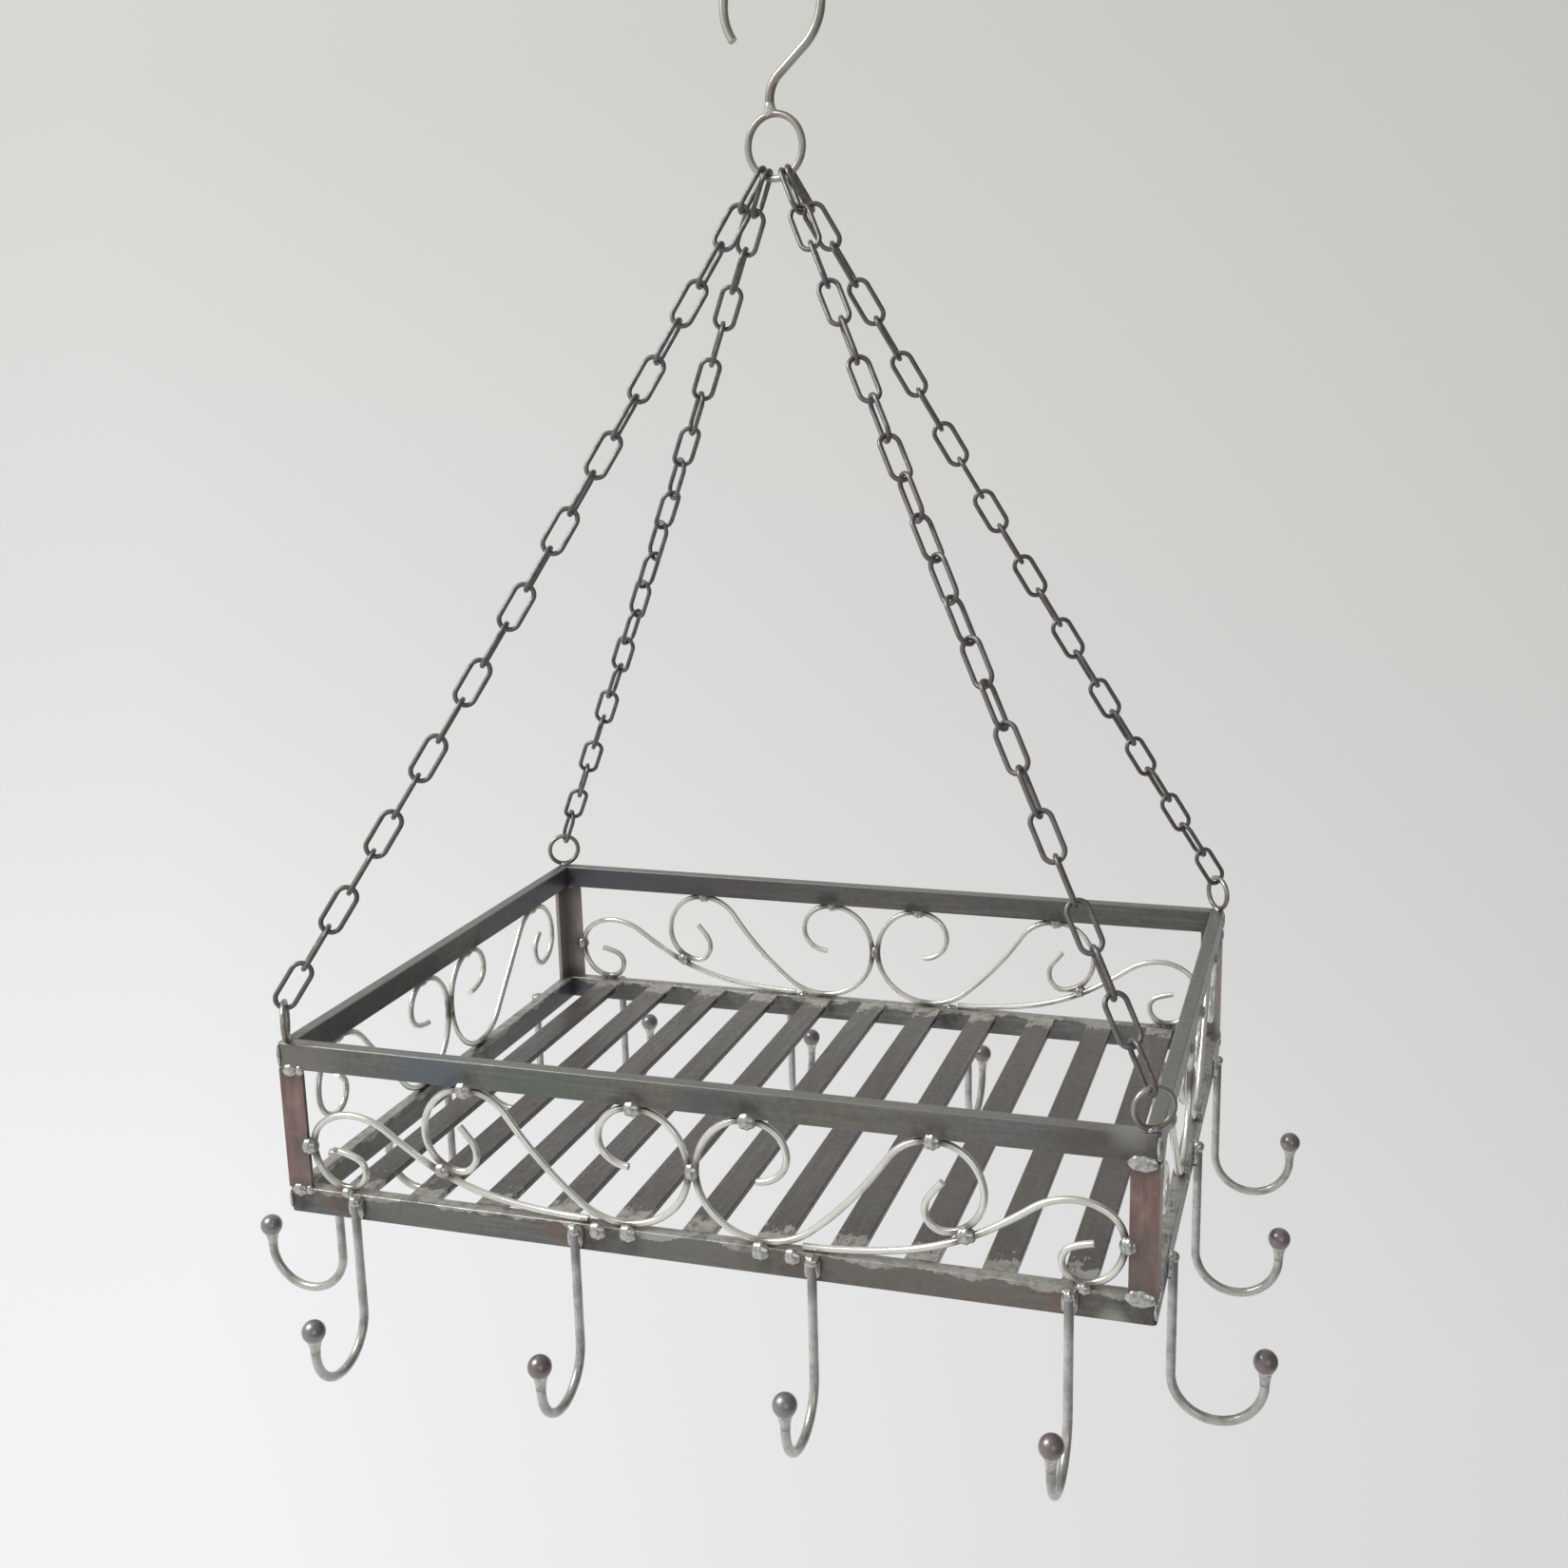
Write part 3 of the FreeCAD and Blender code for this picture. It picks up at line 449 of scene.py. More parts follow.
def grain(tree, point, stretch, grain_mm, depth_mm, normal=None):
    """Fine bump, drawn out along the axis whose stretch is smallest.

    Drawing lines and scale grit are really under 0.1 mm across, so grain_mm is
    as coarse as it has to be to show.
    """
    scaled = add(tree, "ShaderNodeMapping", {"Vector": point, "Scale": stretch})
    noise = add(
        tree,
        "ShaderNodeTexNoise",
        {"Vector": scaled.outputs[0], "Scale": 1 / (grain_mm * MM), "Detail": 5.0},
    )
    bump = {"Distance": depth_mm * MM, "Height": noise.outputs["Fac"]}
    if normal is not None:
        bump["Normal"] = normal
    return add(tree, "ShaderNodeBump", {"Strength": 1.0, **bump}).outputs[0]


def steel(tree, paint, cloud, smooth, rough, normal, metallic, coat=0.25):
    """Lacquered steel: a metal under a thin clear coat, duller where cloudy."""
    roughness = add(
        tree, "ShaderNodeMapRange", {"Value": cloud, "To Min": smooth, "To Max": rough}
    )
    shader = add(
        tree,
        "ShaderNodeBsdfPrincipled",
        {
            "Base Color": paint,
            "Roughness": roughness.outputs[0],
            "Normal": normal,
            "Metallic": metallic,
            "Coat Weight": coat,
            "Coat Roughness": 0.25,
        },
    )
    add(tree, "ShaderNodeOutputMaterial", {"Surface": shader.outputs[0]})


def bar_material(finish, name, along, base, kind):
    """Hot-rolled flat bar under clear lacquer.

    Mill scale is a dark oxide skin, cloudy blue and brown, with fine drawing
    marks along the bar.  It is half metal, half stone to the eye, and shows
    bright steel where a grinder cleaned a weld.
    """
    material, tree, point, quarter = new_material(name)
    drawn_out = tuple(0.05 if axis == along else 1.0 for axis in range(3))
    paint = tint(
        tree, base, tuple(finish.bar_blue), 0.6, blotches(tree, point, 80, 0.47, 0.70)
    )
    browned = blotches(tree, point, 50, 0.50, 0.72, stretch=(1.1, 0.9, 1.3))
    paint = tint(tree, paint, tuple(finish.bar_brown), 0.6, browned)
    fine = blotches(tree, point, 4.5, 0.35, 0.75, detail=6.0)
    dark = tuple(channel * 0.55 for channel in base)
    paint = tint(tree, paint, dark, 0.50, fine)
    streaks = blotches(tree, point, 3.2, 0.45, 0.75, stretch=drawn_out)
    paint = tint(tree, paint, shade_of("drawing mark"), 0.34, streaks)
    if kind != "slat":
        halo, core = beside(tree, quarter, RAIL_HEAT, (9, 20), (6, 12))
        cloudy = blotches(tree, point, 12, 0.30, 0.62)
        paint = tint(tree, paint, tuple(finish.bar_dark), 0.8, halo, cloudy)
        paint = tint(tree, paint, shade_of("bar beside bead"), 0.45, core)
        for place, full, gone, shade, share in STAINS:
            near = beside(tree, point, [place], (full, gone))[0]
            paint = tint(tree, paint, colour(shade), share, near)
    bright = tint(
        tree,
        tuple(finish.ground),
        shade_of("ground, dull"),
        0.75,
        blotches(tree, point, 7, 0.42, 0.66, detail=6.0),
    )
    brushed = blotches(tree, point, 1.4, 0.35, 0.7, stretch=(1.0, 0.12, 1.0))
    patchy = blotches(tree, point, 15, 0.25, 0.75, detail=3.0)
    if kind == "slat":
        # painted shade: the slats are darkened towards the right, away from the key
        # light
        far = past(tree, point, "X", -0.20, 0.22)
        paint = tint(tree, paint, shade_of("slats to the right, painted shade"), 0.5, far)
        # painted shade: the slats' side faces, which face along x, are darkened as if
        # in shade
        faces = add(tree, "ShaderNodeNewGeometry").outputs["True Normal"]
        level = add(tree, "ShaderNodeVectorMath", {0: faces}, operation="ABSOLUTE")
        shaded_slat_sides = past(tree, level.outputs[0], "X", 0.6, 0.9)
        paint = tint(tree, paint, shade_of("painted shade on slat sides"), 0.75, shaded_slat_sides)
        fray = ((patchy, 24), (brushed, 12))
        ends = past(tree, quarter, "Y", FACE_Y - 12 * MM, FACE_Y - 7 * MM, fray)
        paint = tint(tree, paint, bright, 0.95, ends)
    if kind == "lower":
        scalloped = blotches(tree, point, 34, 0.38, 0.66, stretch=(1, 1, 0.05))
        fray = ((scalloped, 5.5), (brushed, 0.8))
        worn = past(tree, point, "Z", LOWER_TOP, LOWER_TOP + 0.8 * MM, fray)
        kept = beside(tree, quarter, RAIL_HEAT, (9, 17))[0]
        paint = tint(tree, paint, bright, 0.72, worn)
        paint = tint(tree, paint, shade_of("ground beside bead"), 0.45, kept, worn)
    if kind == "upper":
        # the upper rails' top edge is lightened: partly worn bare, partly a painted
        # highlight along the edge
        edge = past(tree, point, "Z", TRAY_TOP - 1.6 * MM, TRAY_TOP - 0.5 * MM)
        paint = tint(tree, paint, shade_of("worn bar edge with painted highlight"), 0.45, edge)
    drawn = grain(tree, point, drawn_out, 0.9, 0.05)
    pitted = grain(tree, point, (1, 1, 1), 2.2, 0.05, normal=drawn)
    steel(tree, paint, fine, 0.36, 0.50, pitted, 0.55)
    return material


def post_material(finish):
    """Hot-rolled angle: the same skin, rusted to a thin reddish brown."""
    material, tree, point, quarter = new_material("hot_rolled_angle_browned")
    streaks = blotches(tree, point, 6, 0.35, 0.70, detail=6.0, stretch=(1, 1, 0.15))
    paint = tint(tree, tuple(finish.post), shade_of("post streak"), 0.6, streaks)
    pale = blotches(tree, point, 14, 0.50, 0.70)
    paint = tint(tree, paint, shade_of("post, pale"), 0.5, pale)
    lead = blotches(tree, point, 24, 0.48, 0.68)
    paint = tint(tree, paint, shade_of("post, leaden"), 0.55, lead)
    # painted light: the posts at the back are lightened to lift them out of the shade
    # they stand in
    painted_light_behind = past(tree, point, "Y", -0.05, 0.05)
    paint = tint(tree, paint, shade_of("post at the back, painted lighter"), 0.75, painted_light_behind)
    heated = beside(tree, quarter, RAIL_HEAT, (7, 15))[0]
    paint = tint(tree, paint, shade_of("post beside bead"), 0.45, heated)
    normal = grain(tree, point, (1, 1, 0.1), 1.2, 0.06)
    steel(tree, paint, streaks, 0.40, 0.54, normal, 0.45)
    return material


def scroll_material(finish):
    """Bright cold-drawn rod: smooth and pale, straw and dull where heated."""
    material, tree, point, quarter = new_material("cold_drawn_scroll_rod")
    cloud = blotches(tree, point, 20, 0.42, 0.70)
    paint = tint(tree, tuple(finish.rod), shade_of("scroll rod cloud"), 0.5, cloud)
    halo, core = beside(tree, quarter, SCROLL_HEAT, (9, 22), (7, 12.5))
    paint = tint(tree, paint, tuple(finish.rod_straw), 0.5, halo)
    paint = tint(tree, paint, tuple(finish.rod_dark), 0.75, core)
    specks = blotches(tree, point, 2.6, 0.60, 0.72, detail=5.0)
    paint = tint(tree, paint, shade_of("scroll rod speck"), 0.22, specks)
    normal = grain(tree, point, (1, 1, 1), 1.6, 0.03)
    steel(tree, paint, cloud, 0.24, 0.36, normal, 0.8)
    return material


def pot_hook_material(finish):
    """Drawn rod bent cold, silvery under its lacquer, with a darker ball."""
    material, tree, point, quarter = new_material("pot_hook_rod_and_ball")
    cloud = blotches(tree, point, 12, 0.40, 0.72, detail=5.0)
    paint = tint(tree, tuple(finish.hook), tuple(finish.hook_dark), 0.7, cloud)
    specks = blotches(tree, point, 2.4, 0.56, 0.70, detail=5.0)
    paint = tint(tree, paint, shade_of("hook speck"), 0.40, specks)
    heated = past(tree, point, "Z", LOWER_TOP - 34 * MM, LOWER_TOP - 18 * MM)
    paint = tint(tree, paint, shade_of("hook stem heated"), 0.55, heated)
    # between stem and ball: what is farther out and above the rod's end is ball
    near, far = 40 * MM, 41 * MM
    ball = add(
        tree,
        "ShaderNodeMath",
        {
            0: past(tree, quarter, "X", FACE_X + near, FACE_X + far),
            1: past(tree, quarter, "Y", FACE_Y + near, FACE_Y + far),
        },
        operation="MAXIMUM",
    ).outputs[0]
    high = BALL_CENTRE - BALL_RADIUS + 0.7 * MM
    above = past(tree, point, "Z", high, high + 0.2 * MM)
    rusty = blotches(tree, point, 60, 0.46, 0.56, detail=8.0)
    skin = tint(tree, tuple(finish.ball), shade_of("ball rust"), 0.6, rusty)
    paint = tint(tree, paint, skin, 1.0, ball, above)
    normal = grain(tree, point, (1, 1, 1), 1.8, 0.05)
    steel(tree, paint, cloud, 0.28, 0.42, normal, 0.75, coat=0.35)
    return material


def chain_material(finish):
    """Welded chain of dark wire, no two links alike, with bright specks that are partly
    worn by rubbing and partly painted glints.
    """
    material, tree, point, _ = new_material("dark_chain_wire")
    cloud = blotches(tree, point, 7, 0.42, 0.68, detail=5.0)
    paint = tint(tree, tuple(finish.chain), tuple(finish.chain_dark), 0.6, cloud)
    cold = blotches(tree, point, 30, 0.52, 0.60, detail=1.0)
    paint = tint(tree, paint, shade_of("chain, blued"), 0.35, cold)
    right = past(tree, point, "X", -0.06, 0.16)
    warm = blotches(tree, point, 26, 0.44, 0.56, detail=1.0)
    paint = tint(tree, paint, shade_of("chain, warm"), 0.45, warm, right)
    # bright specks: partly wear where links rub, partly painted glints
    rubbed_and_glinting = blotches(tree, point, 4.0, 0.66, 0.72)
    paint = tint(tree, paint, shade_of("chain, rubbed and glinting"), 0.5, rubbed_and_glinting)
    normal = grain(tree, point, (1, 1, 1), 1.8, 0.02)
    steel(tree, paint, cloud, 0.38, 0.52, normal, 0.7, coat=0.1)
    return material


def eye_material(finish):
    """Corner eyes: silvery wire, browned at the welded foot."""
    material, tree, point, _ = new_material("corner_eye_wire")
    cloud = blotches(tree, point, 9, 0.40, 0.70)
    paint = tint(tree, tuple(finish.eye), shade_of("eye cloud"), 0.6, cloud)
    foot = past(tree, point, "Z", TRAY_TOP + 15 * MM, TRAY_TOP + 3 * MM)
    paint = tint(tree, paint, tuple(finish.browned), 0.8, foot)
    normal = grain(tree, point, (1, 1, 1), 1.4, 0.03)
    steel(tree, paint, cloud, 0.30, 0.42, normal, 0.8)
    return material


def hanger_material(finish):
    """Ceiling hook and ring: grey rod, a breath of brown round the weld."""
    material, tree, point, _ = new_material("hanger_rod_tempered")
    cloud = blotches(tree, point, 14, 0.40, 0.70, detail=5.0)
    paint = tint(tree, tuple(finish.hanger), shade_of("hanger cloud"), 0.6, cloud)
    weld = RING_CENTRE + Vector((WELD_SHIFT * MM, 0, RING_RADIUS))
    wide, close = beside(tree, point, [weld], (14, 44), (4, 20))
    paint = tint(tree, paint, shade_of("hanger, warm"), 0.4, wide)
    paint = tint(tree, paint, tuple(finish.browned), 0.6, close)
    joined = RING_CENTRE + at(22.5, -3.5, -9)
    mark = beside(tree, point, [joined], (0.6, 2.6))[0]
    paint = tint(tree, paint, shade_of("ring's joint"), 0.7, mark)
    normal = grain(tree, point, (1, 1, 1), 1.6, 0.04)
    steel(tree, paint, cloud, 0.30, 0.42, normal, 0.75)
    return material


def bead_material(finish):
    """Bare weld metal: bright, glassy lumps with soot in the hollows."""
    material, tree, point, _ = new_material("weld_bead_metal")
    soot = blotches(tree, point, 2.6, 0.44, 0.66, detail=4.0)
    paint = tint(tree, tuple(finish.bead), shade_of("bead soot"), 0.65, soot)
    normal = grain(tree, point, (1, 1, 1), 1.8, 0.10)
    steel(tree, paint, soot, 0.20, 0.40, normal, 0.9, coat=0.4)
    return material


def neck_material(finish):
    """Weld neck under a ball: pale silver, running out into the rod's grey."""
    material, tree, point, _ = new_material("ball_neck_weld_metal")
    soot = blotches(tree, point, 3.4, 0.44, 0.68, detail=4.0)
    paint = tint(tree, shade_of("neck"), shade_of("neck soot"), 0.6, soot)
    low = BALL_CENTRE - 17 * MM
    rod = past(tree, point, "Z", low + 5 * MM, low)
    paint = tint(tree, paint, tuple(finish.hook_dark), 0.7, rod)
    normal = grain(tree, point, (1, 1, 1), 1.6, 0.08)
    steel(tree, paint, soot, 0.26, 0.40, normal, 0.75)
    return material


# ------------------------------------------------------------------- helpers


def paint_nodes(material, *parts):
    """Gives a material to every CAD node whose name has one of the parts in it."""
    painted = 0
    for name, node in NODES.items():
        if any(part in name for part in parts):
            for slot in node.material_slots:
                slot.material = material
            painted += 1
    if painted == 0:
        raise RuntimeError(f"no node takes {material.name}")


def mirrored(places, x_ways=(1, -1)):
    """Folded welds copied to the quarters, once where x or y is 0."""
    copies = []
    for place, facing, *sizes in places:
        for sx in x_ways if place.x > 1e-6 else (1,):
            for sy in (1, -1) if place.y > 1e-6 else (1,):
                flip = Vector((sx, sy, 1))
                copies.append((place * flip, facing * flip, *sizes))
    return copies


def facing_turn(facing):
    """Rotation whose z looks along facing and whose x stays level."""
    across = Vector((0, 0, 1)).cross(facing).normalized()
    up = facing.cross(across)
    return Matrix((across, up, facing)).transposed().to_euler()


def bead_points(name, places):
    """One vertex per bead, with its turn and its size as attributes."""
    mesh = bpy.data.meshes.new(name)
    mesh.from_pydata([tuple(weld[0]) for weld in places], [], [])
    turns = mesh.attributes.new("bead_turn", "FLOAT_VECTOR", "POINT")
    sizes = mesh.attributes.new("bead_size", "FLOAT_VECTOR", "POINT")
    for index, (_, facing, long_side, high_side, rise) in enumerate(places):
        turns.data[index].vector = facing_turn(facing)
        sizes.data[index].vector = Vector((long_side / 2, high_side / 2, rise)) * MM
    return mesh


def bead_tree():
    """Geometry nodes: a rippled, lumpy bead on every point, uneven in size."""
    tree = bpy.data.node_groups.new("weld_beads", "GeometryNodeTree")
    for label, way, kind in (
        ("Points", "INPUT", "Geometry"),
        ("Ripples", "INPUT", "Float"),
        ("Ripple depth", "INPUT", "Float"),
        ("Unevenness", "INPUT", "Float"),
        ("Lump size", "INPUT", "Float"),
        ("Lump depth", "INPUT", "Float"),
        ("Seed", "INPUT", "Int"),
        ("Material", "INPUT", "Material"),
        ("Beads", "OUTPUT", "Geometry"),
    ):
        tree.interface.new_socket(label, in_out=way, socket_type="NodeSocket" + kind)
    given = add(tree, "NodeGroupInput").outputs

    ball = add(
        tree, "GeometryNodeMeshUVSphere", {"Segments": 18, "Rings": 18, "Radius": 1.0}
    )
    lying = add(
        tree,
        "GeometryNodeTransform",
        {"Geometry": ball.outputs["Mesh"], "Rotation": Euler((0, math.pi / 2, 0))},
    )
    spot = add(tree, "GeometryNodeInputPosition").outputs[0]
    along = add(tree, "ShaderNodeSeparateXYZ", {0: spot}).outputs["X"]
    phase = add(
        tree, "ShaderNodeMath", {0: given["Ripples"], 1: math.pi}, operation="MULTIPLY"
    ).outputs[0]
    phase = add(tree, "ShaderNodeMath", {0: phase, 1: along}, operation="MULTIPLY")
    wave = add(tree, "ShaderNodeMath", {0: phase.outputs[0]}, operation="SINE")
    height = add(
        tree,
        "ShaderNodeMath",
        {0: wave.outputs[0], 1: given["Ripple depth"]},
        operation="MULTIPLY",
    ).outputs[0]
    outward = add(
        tree, "ShaderNodeVectorMath", {0: spot, "Scale": height}, operation="SCALE"
    )
    rippled = add(
        tree,
        "GeometryNodeSetPosition",
        {"Geometry": lying.outputs[0], "Offset": outward.outputs[0]},
    )

    turn, size = [
        add(
            tree,
            "GeometryNodeInputNamedAttribute",
            {"Name": name},
            data_type="FLOAT_VECTOR",
        ).outputs["Attribute"]
        for name in ("bead_turn", "bead_size")
    ]
    smallest = add(
        tree, "ShaderNodeMath", {0: 1.0, 1: given["Unevenness"]}, operation="SUBTRACT"
    ).outputs[0]
    change = add(
        tree,
        "FunctionNodeRandomValue",
        {2: smallest, 3: 1.0, "Seed": given["Seed"]},
        data_type="FLOAT",
    ).outputs[1]
    uneven = add(
        tree, "ShaderNodeVectorMath", {0: size, "Scale": change}, operation="SCALE"
    )
    rotation = add(tree, "FunctionNodeEulerToRotation", {0: turn})
    placed = add(
        tree,
        "GeometryNodeInstanceOnPoints",
        {
            "Points": given["Points"],
            "Instance": rippled.outputs[0],
            "Rotation": rotation.outputs[0],
            "Scale": uneven.outputs[0],
        },
    )
    real = add(tree, "GeometryNodeRealizeInstances", {0: placed.outputs[0]})
    pitch = add(
        tree, "ShaderNodeMath", {0: 1.0, 1: given["Lump size"]}, operation="DIVIDE"
    )
    noise = add(
        tree,
        "ShaderNodeTexNoise",
        {"Vector": spot, "Scale": pitch.outputs[0], "Detail": 2.0},
    )
    lump = add(
        tree, "ShaderNodeMath", {0: noise.outputs["Fac"], 1: 0.5}, operation="SUBTRACT"
    )
    push = add(
        tree,
        "ShaderNodeMath",
        {0: lump.outputs[0], 1: given["Lump depth"]},
        operation="MULTIPLY",
    )
    normal = add(tree, "GeometryNodeInputNormal").outputs[0]
    shift = add(
        tree,
        "ShaderNodeVectorMath",
        {0: normal, "Scale": push.outputs[0]},
        operation="SCALE",
    )
    lumpy = add(
        tree,
        "GeometryNodeSetPosition",
        {"Geometry": real.outputs[0], "Offset": shift.outputs[0]},
    )
    smooth = add(tree, "GeometryNodeSetShadeSmooth", {0: lumpy.outputs[0]})
    dressed = add(
        tree,
        "GeometryNodeSetMaterial",
        {"Geometry": smooth.outputs[0], "Material": given["Material"]},
    )
    add(tree, "NodeGroupOutput", {0: dressed.outputs[0]})
    return tree


def keep(name, mesh, body):
    """A finished piece that rides on a body."""
    piece = bpy.data.objects.new(name, mesh)
    bpy.context.scene.collection.objects.link(piece)
    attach(piece, body)


def material_named(name):
    """A material made by an earlier operator."""
    material = bpy.data.materials.get(name)
    if material is None:
        raise RuntimeError(f"run the finishes first: {name} is missing")
    return material


def beads(context, name, places, body):
    """Grows weld beads at the given places and keeps them as a plain mesh."""
    welds = context.scene.pot_rack_welds
    tree = bpy.data.node_groups.get("weld_beads") or bead_tree()
    values = {
        "Ripples": welds.ripples,
        "Ripple depth": welds.ripple_depth,
        "Unevenness": welds.unevenness,
        "Lump size": welds.lump_size * MM,
        "Lump depth": welds.lump_depth * MM,
        "Seed": welds.seed,
        "Material": material_named("weld_bead_metal"),
    }
    seedling = bpy.data.objects.new(name + "_points", bead_points(name, places))
    context.scene.collection.objects.link(seedling)
    modifier = seedling.modifiers.new("grow", "NODES")
    modifier.node_group = tree
    for item in tree.interface.items_tree:
        if item.in_out == "INPUT" and item.name in values:
            modifier[item.identifier] = values[item.name]
    context.view_layer.update()
    evaluated = seedling.evaluated_get(context.evaluated_depsgraph_get())
    plain = bpy.data.meshes.new_from_object(evaluated)
    bpy.data.objects.remove(seedling)
    if len(plain.polygons) == 0:
        raise RuntimeError(f"{name} came out empty")
    for old in [a.name for a in plain.attributes if a.name.startswith("bead_")]:
        plain.attributes.remove(plain.attributes[old])
    keep(name, plain, body)


def skin(shape, rings):
    """Closes a stack of rings of points into one solid of a bmesh."""
    loops = [[shape.verts.new(spot) for spot in ring] for ring in rings]
    count = len(loops[0])
    for lower, upper in zip(loops, loops[1:]):
        for step in range(count):
            after = (step + 1) % count
            shape.faces.new((lower[step], lower[after], upper[after], upper[step]))
    shape.faces.new(list(reversed(loops[0])))
    shape.faces.new(loops[-1])


def finish_mesh(shape, name, material):
    """A smooth mesh with its faces outwards from a bmesh."""
    bmesh.ops.recalc_face_normals(shape, faces=shape.faces)
    mesh = bpy.data.meshes.new(name)
    shape.to_mesh(mesh)
    shape.free()
    mesh.shade_smooth()
    mesh.materials.append(material_named(material))
    return mesh


def circle(steps):
    """Cosine and sine of the turns round a ring."""
    turns = [2 * math.pi * step / steps for step in range(steps)]
    return [(math.cos(turn), math.sin(turn)) for turn in turns]


# ----------------------------------------------------------------- operators


class POTRACK_OT_steel_finishes(bpy.types.Operator):
    """Give every rail, post, slat, scroll, hook and chain its steel"""

    bl_idname = "pot_rack.steel_finishes"
    bl_label = "Steel finishes"

    def execute(self, context):
        finish = context.scene.pot_rack_finish
        bar = tuple(finish.bar)
        for level in ("upper", "lower"):
            for axis, ends in ((0, ("front", "back")), (1, ("left", "right"))):
                name = f"hot_rolled_bar_{level}_{'xy'[axis]}"
                material = bar_material(finish, name, axis, bar, level)
                paint_nodes(material, *(f"{level}_rail_{end}" for end in ends))
        slat = tuple(finish.slat)
        material = bar_material(finish, "floor_slat_ground_ends", 1, slat, "slat")
        paint_nodes(material, "floor_slat")
        paint_nodes(post_material(finish), "corner_post")
        paint_nodes(scroll_material(finish), "scroll")
        paint_nodes(pot_hook_material(finish), "pot_hook")
        paint_nodes(chain_material(finish), "chain")
        paint_nodes(eye_material(finish), "corner_eye")
        paint_nodes(hanger_material(finish), "ceiling_hook", "top_ring")
        bead_material(finish)
        neck_material(finish)
        return {"FINISHED"}


class POTRACK_OT_scroll_welds(bpy.types.Operator):
    """Weld beads where scrolls meet rails, posts and each other"""

    bl_idname = "pot_rack.scroll_welds"
    bl_label = "Scroll welds"

    def execute(self, context):
        places = mirrored(scroll_welds())
        beads(context, "scroll_weld_beads", places, "rack")
        return {"FINISHED"}


class POTRACK_OT_post_welds(bpy.types.Operator):
    """Weld beads between the corner posts and the rails"""

    bl_idname = "pot_rack.post_welds"
    bl_label = "Post welds"

    def execute(self, context):
        left, right, every = post_welds()
        places = mirrored(left, (-1,)) + mirrored(right, (1,)) + mirrored(every)
        beads(context, "post_weld_beads", places, "rack")
        return {"FINISHED"}


class POTRACK_OT_pot_hook_welds(bpy.types.Operator):
    """Weld beads beside and on top of each pot hook's stem"""

    bl_idname = "pot_rack.pot_hook_welds"
    bl_label = "Pot hook welds"

    def execute(self, context):
        places = mirrored(pot_hook_welds())
        beads(context, "pot_hook_weld_beads", places, "rack")
        return {"FINISHED"}


class POTRACK_OT_ball_necks(bpy.types.Operator):
    """Flared weld necks between the pot hooks' rods and their balls"""

    bl_idname = "pot_rack.ball_necks"
    bl_label = "Ball necks"

    def execute(self, context):
        spots = []
        for name in NODES:
            if name.startswith("pot_hook"):
                low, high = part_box(name)
                middle = (low + high) / 2
                if "front" in name or "back" in name:
                    sign = 1 if middle.y > 0 else -1
                    spots.append((middle.x, sign * (FACE_Y + BALL_OUT)))
                else:
                    sign = 1 if middle.x > 0 else -1
                    spots.append((sign * (FACE_X + BALL_OUT), middle.y))
        height = context.scene.pot_rack_welds.neck_height
        cap = -6.4
        # radius in mm and share of the neck's height below the cap
        flare = ((2.0, 1.03), (3.3, 1.0), (3.35, 0.85), (3.6, 0.60), (4.15, 0.34))
        profile = [(radius, cap - share * height) for radius, share in flare]
        profile += [(4.9, cap - 0.9), (5.6, -6.0), (6.15, -5.3)]
        profile += [(5.9, -4.9), (3.0, -5.6)]
        shape = bmesh.new()
        for x, y in spots:
            rings = []
            for radius, z in profile:
                rings.append(
                    [
                        (x + radius * MM * c, y + radius * MM * s, BALL_CENTRE + z * MM)
                        for c, s in circle(20)
                    ]
                )
            skin(shape, rings)
        mesh = finish_mesh(shape, "ball_weld_necks", "ball_neck_weld_metal")
        keep("ball_weld_necks", mesh, "rack")
        return {"FINISHED"}


class POTRACK_OT_eye_welds(bpy.types.Operator):
    """Weld beads at the feet of the corner eyes"""

    bl_idname = "pot_rack.eye_welds"
    bl_label = "Eye welds"

    def execute(self, context):
        places = []
        for corner, heading in EYE_HEADINGS.items():
            low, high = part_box("corner_eye_" + corner)
            foot = Vector(((low.x + high.x) / 2, (low.y + high.y) / 2, TRAY_TOP))
            turn = math.radians(heading)
            across = Vector((-math.sin(turn), math.cos(turn), 0))
            for side in (-1, 1):
                spot = foot + across * side * 1.3 * MM + Vector((0, 0, 0.9 * MM))
                places.append((spot, across * side, 9.5, 5.0, 2.2))
        beads(context, "eye_weld_beads", places, "rack")
        return {"FINISHED"}


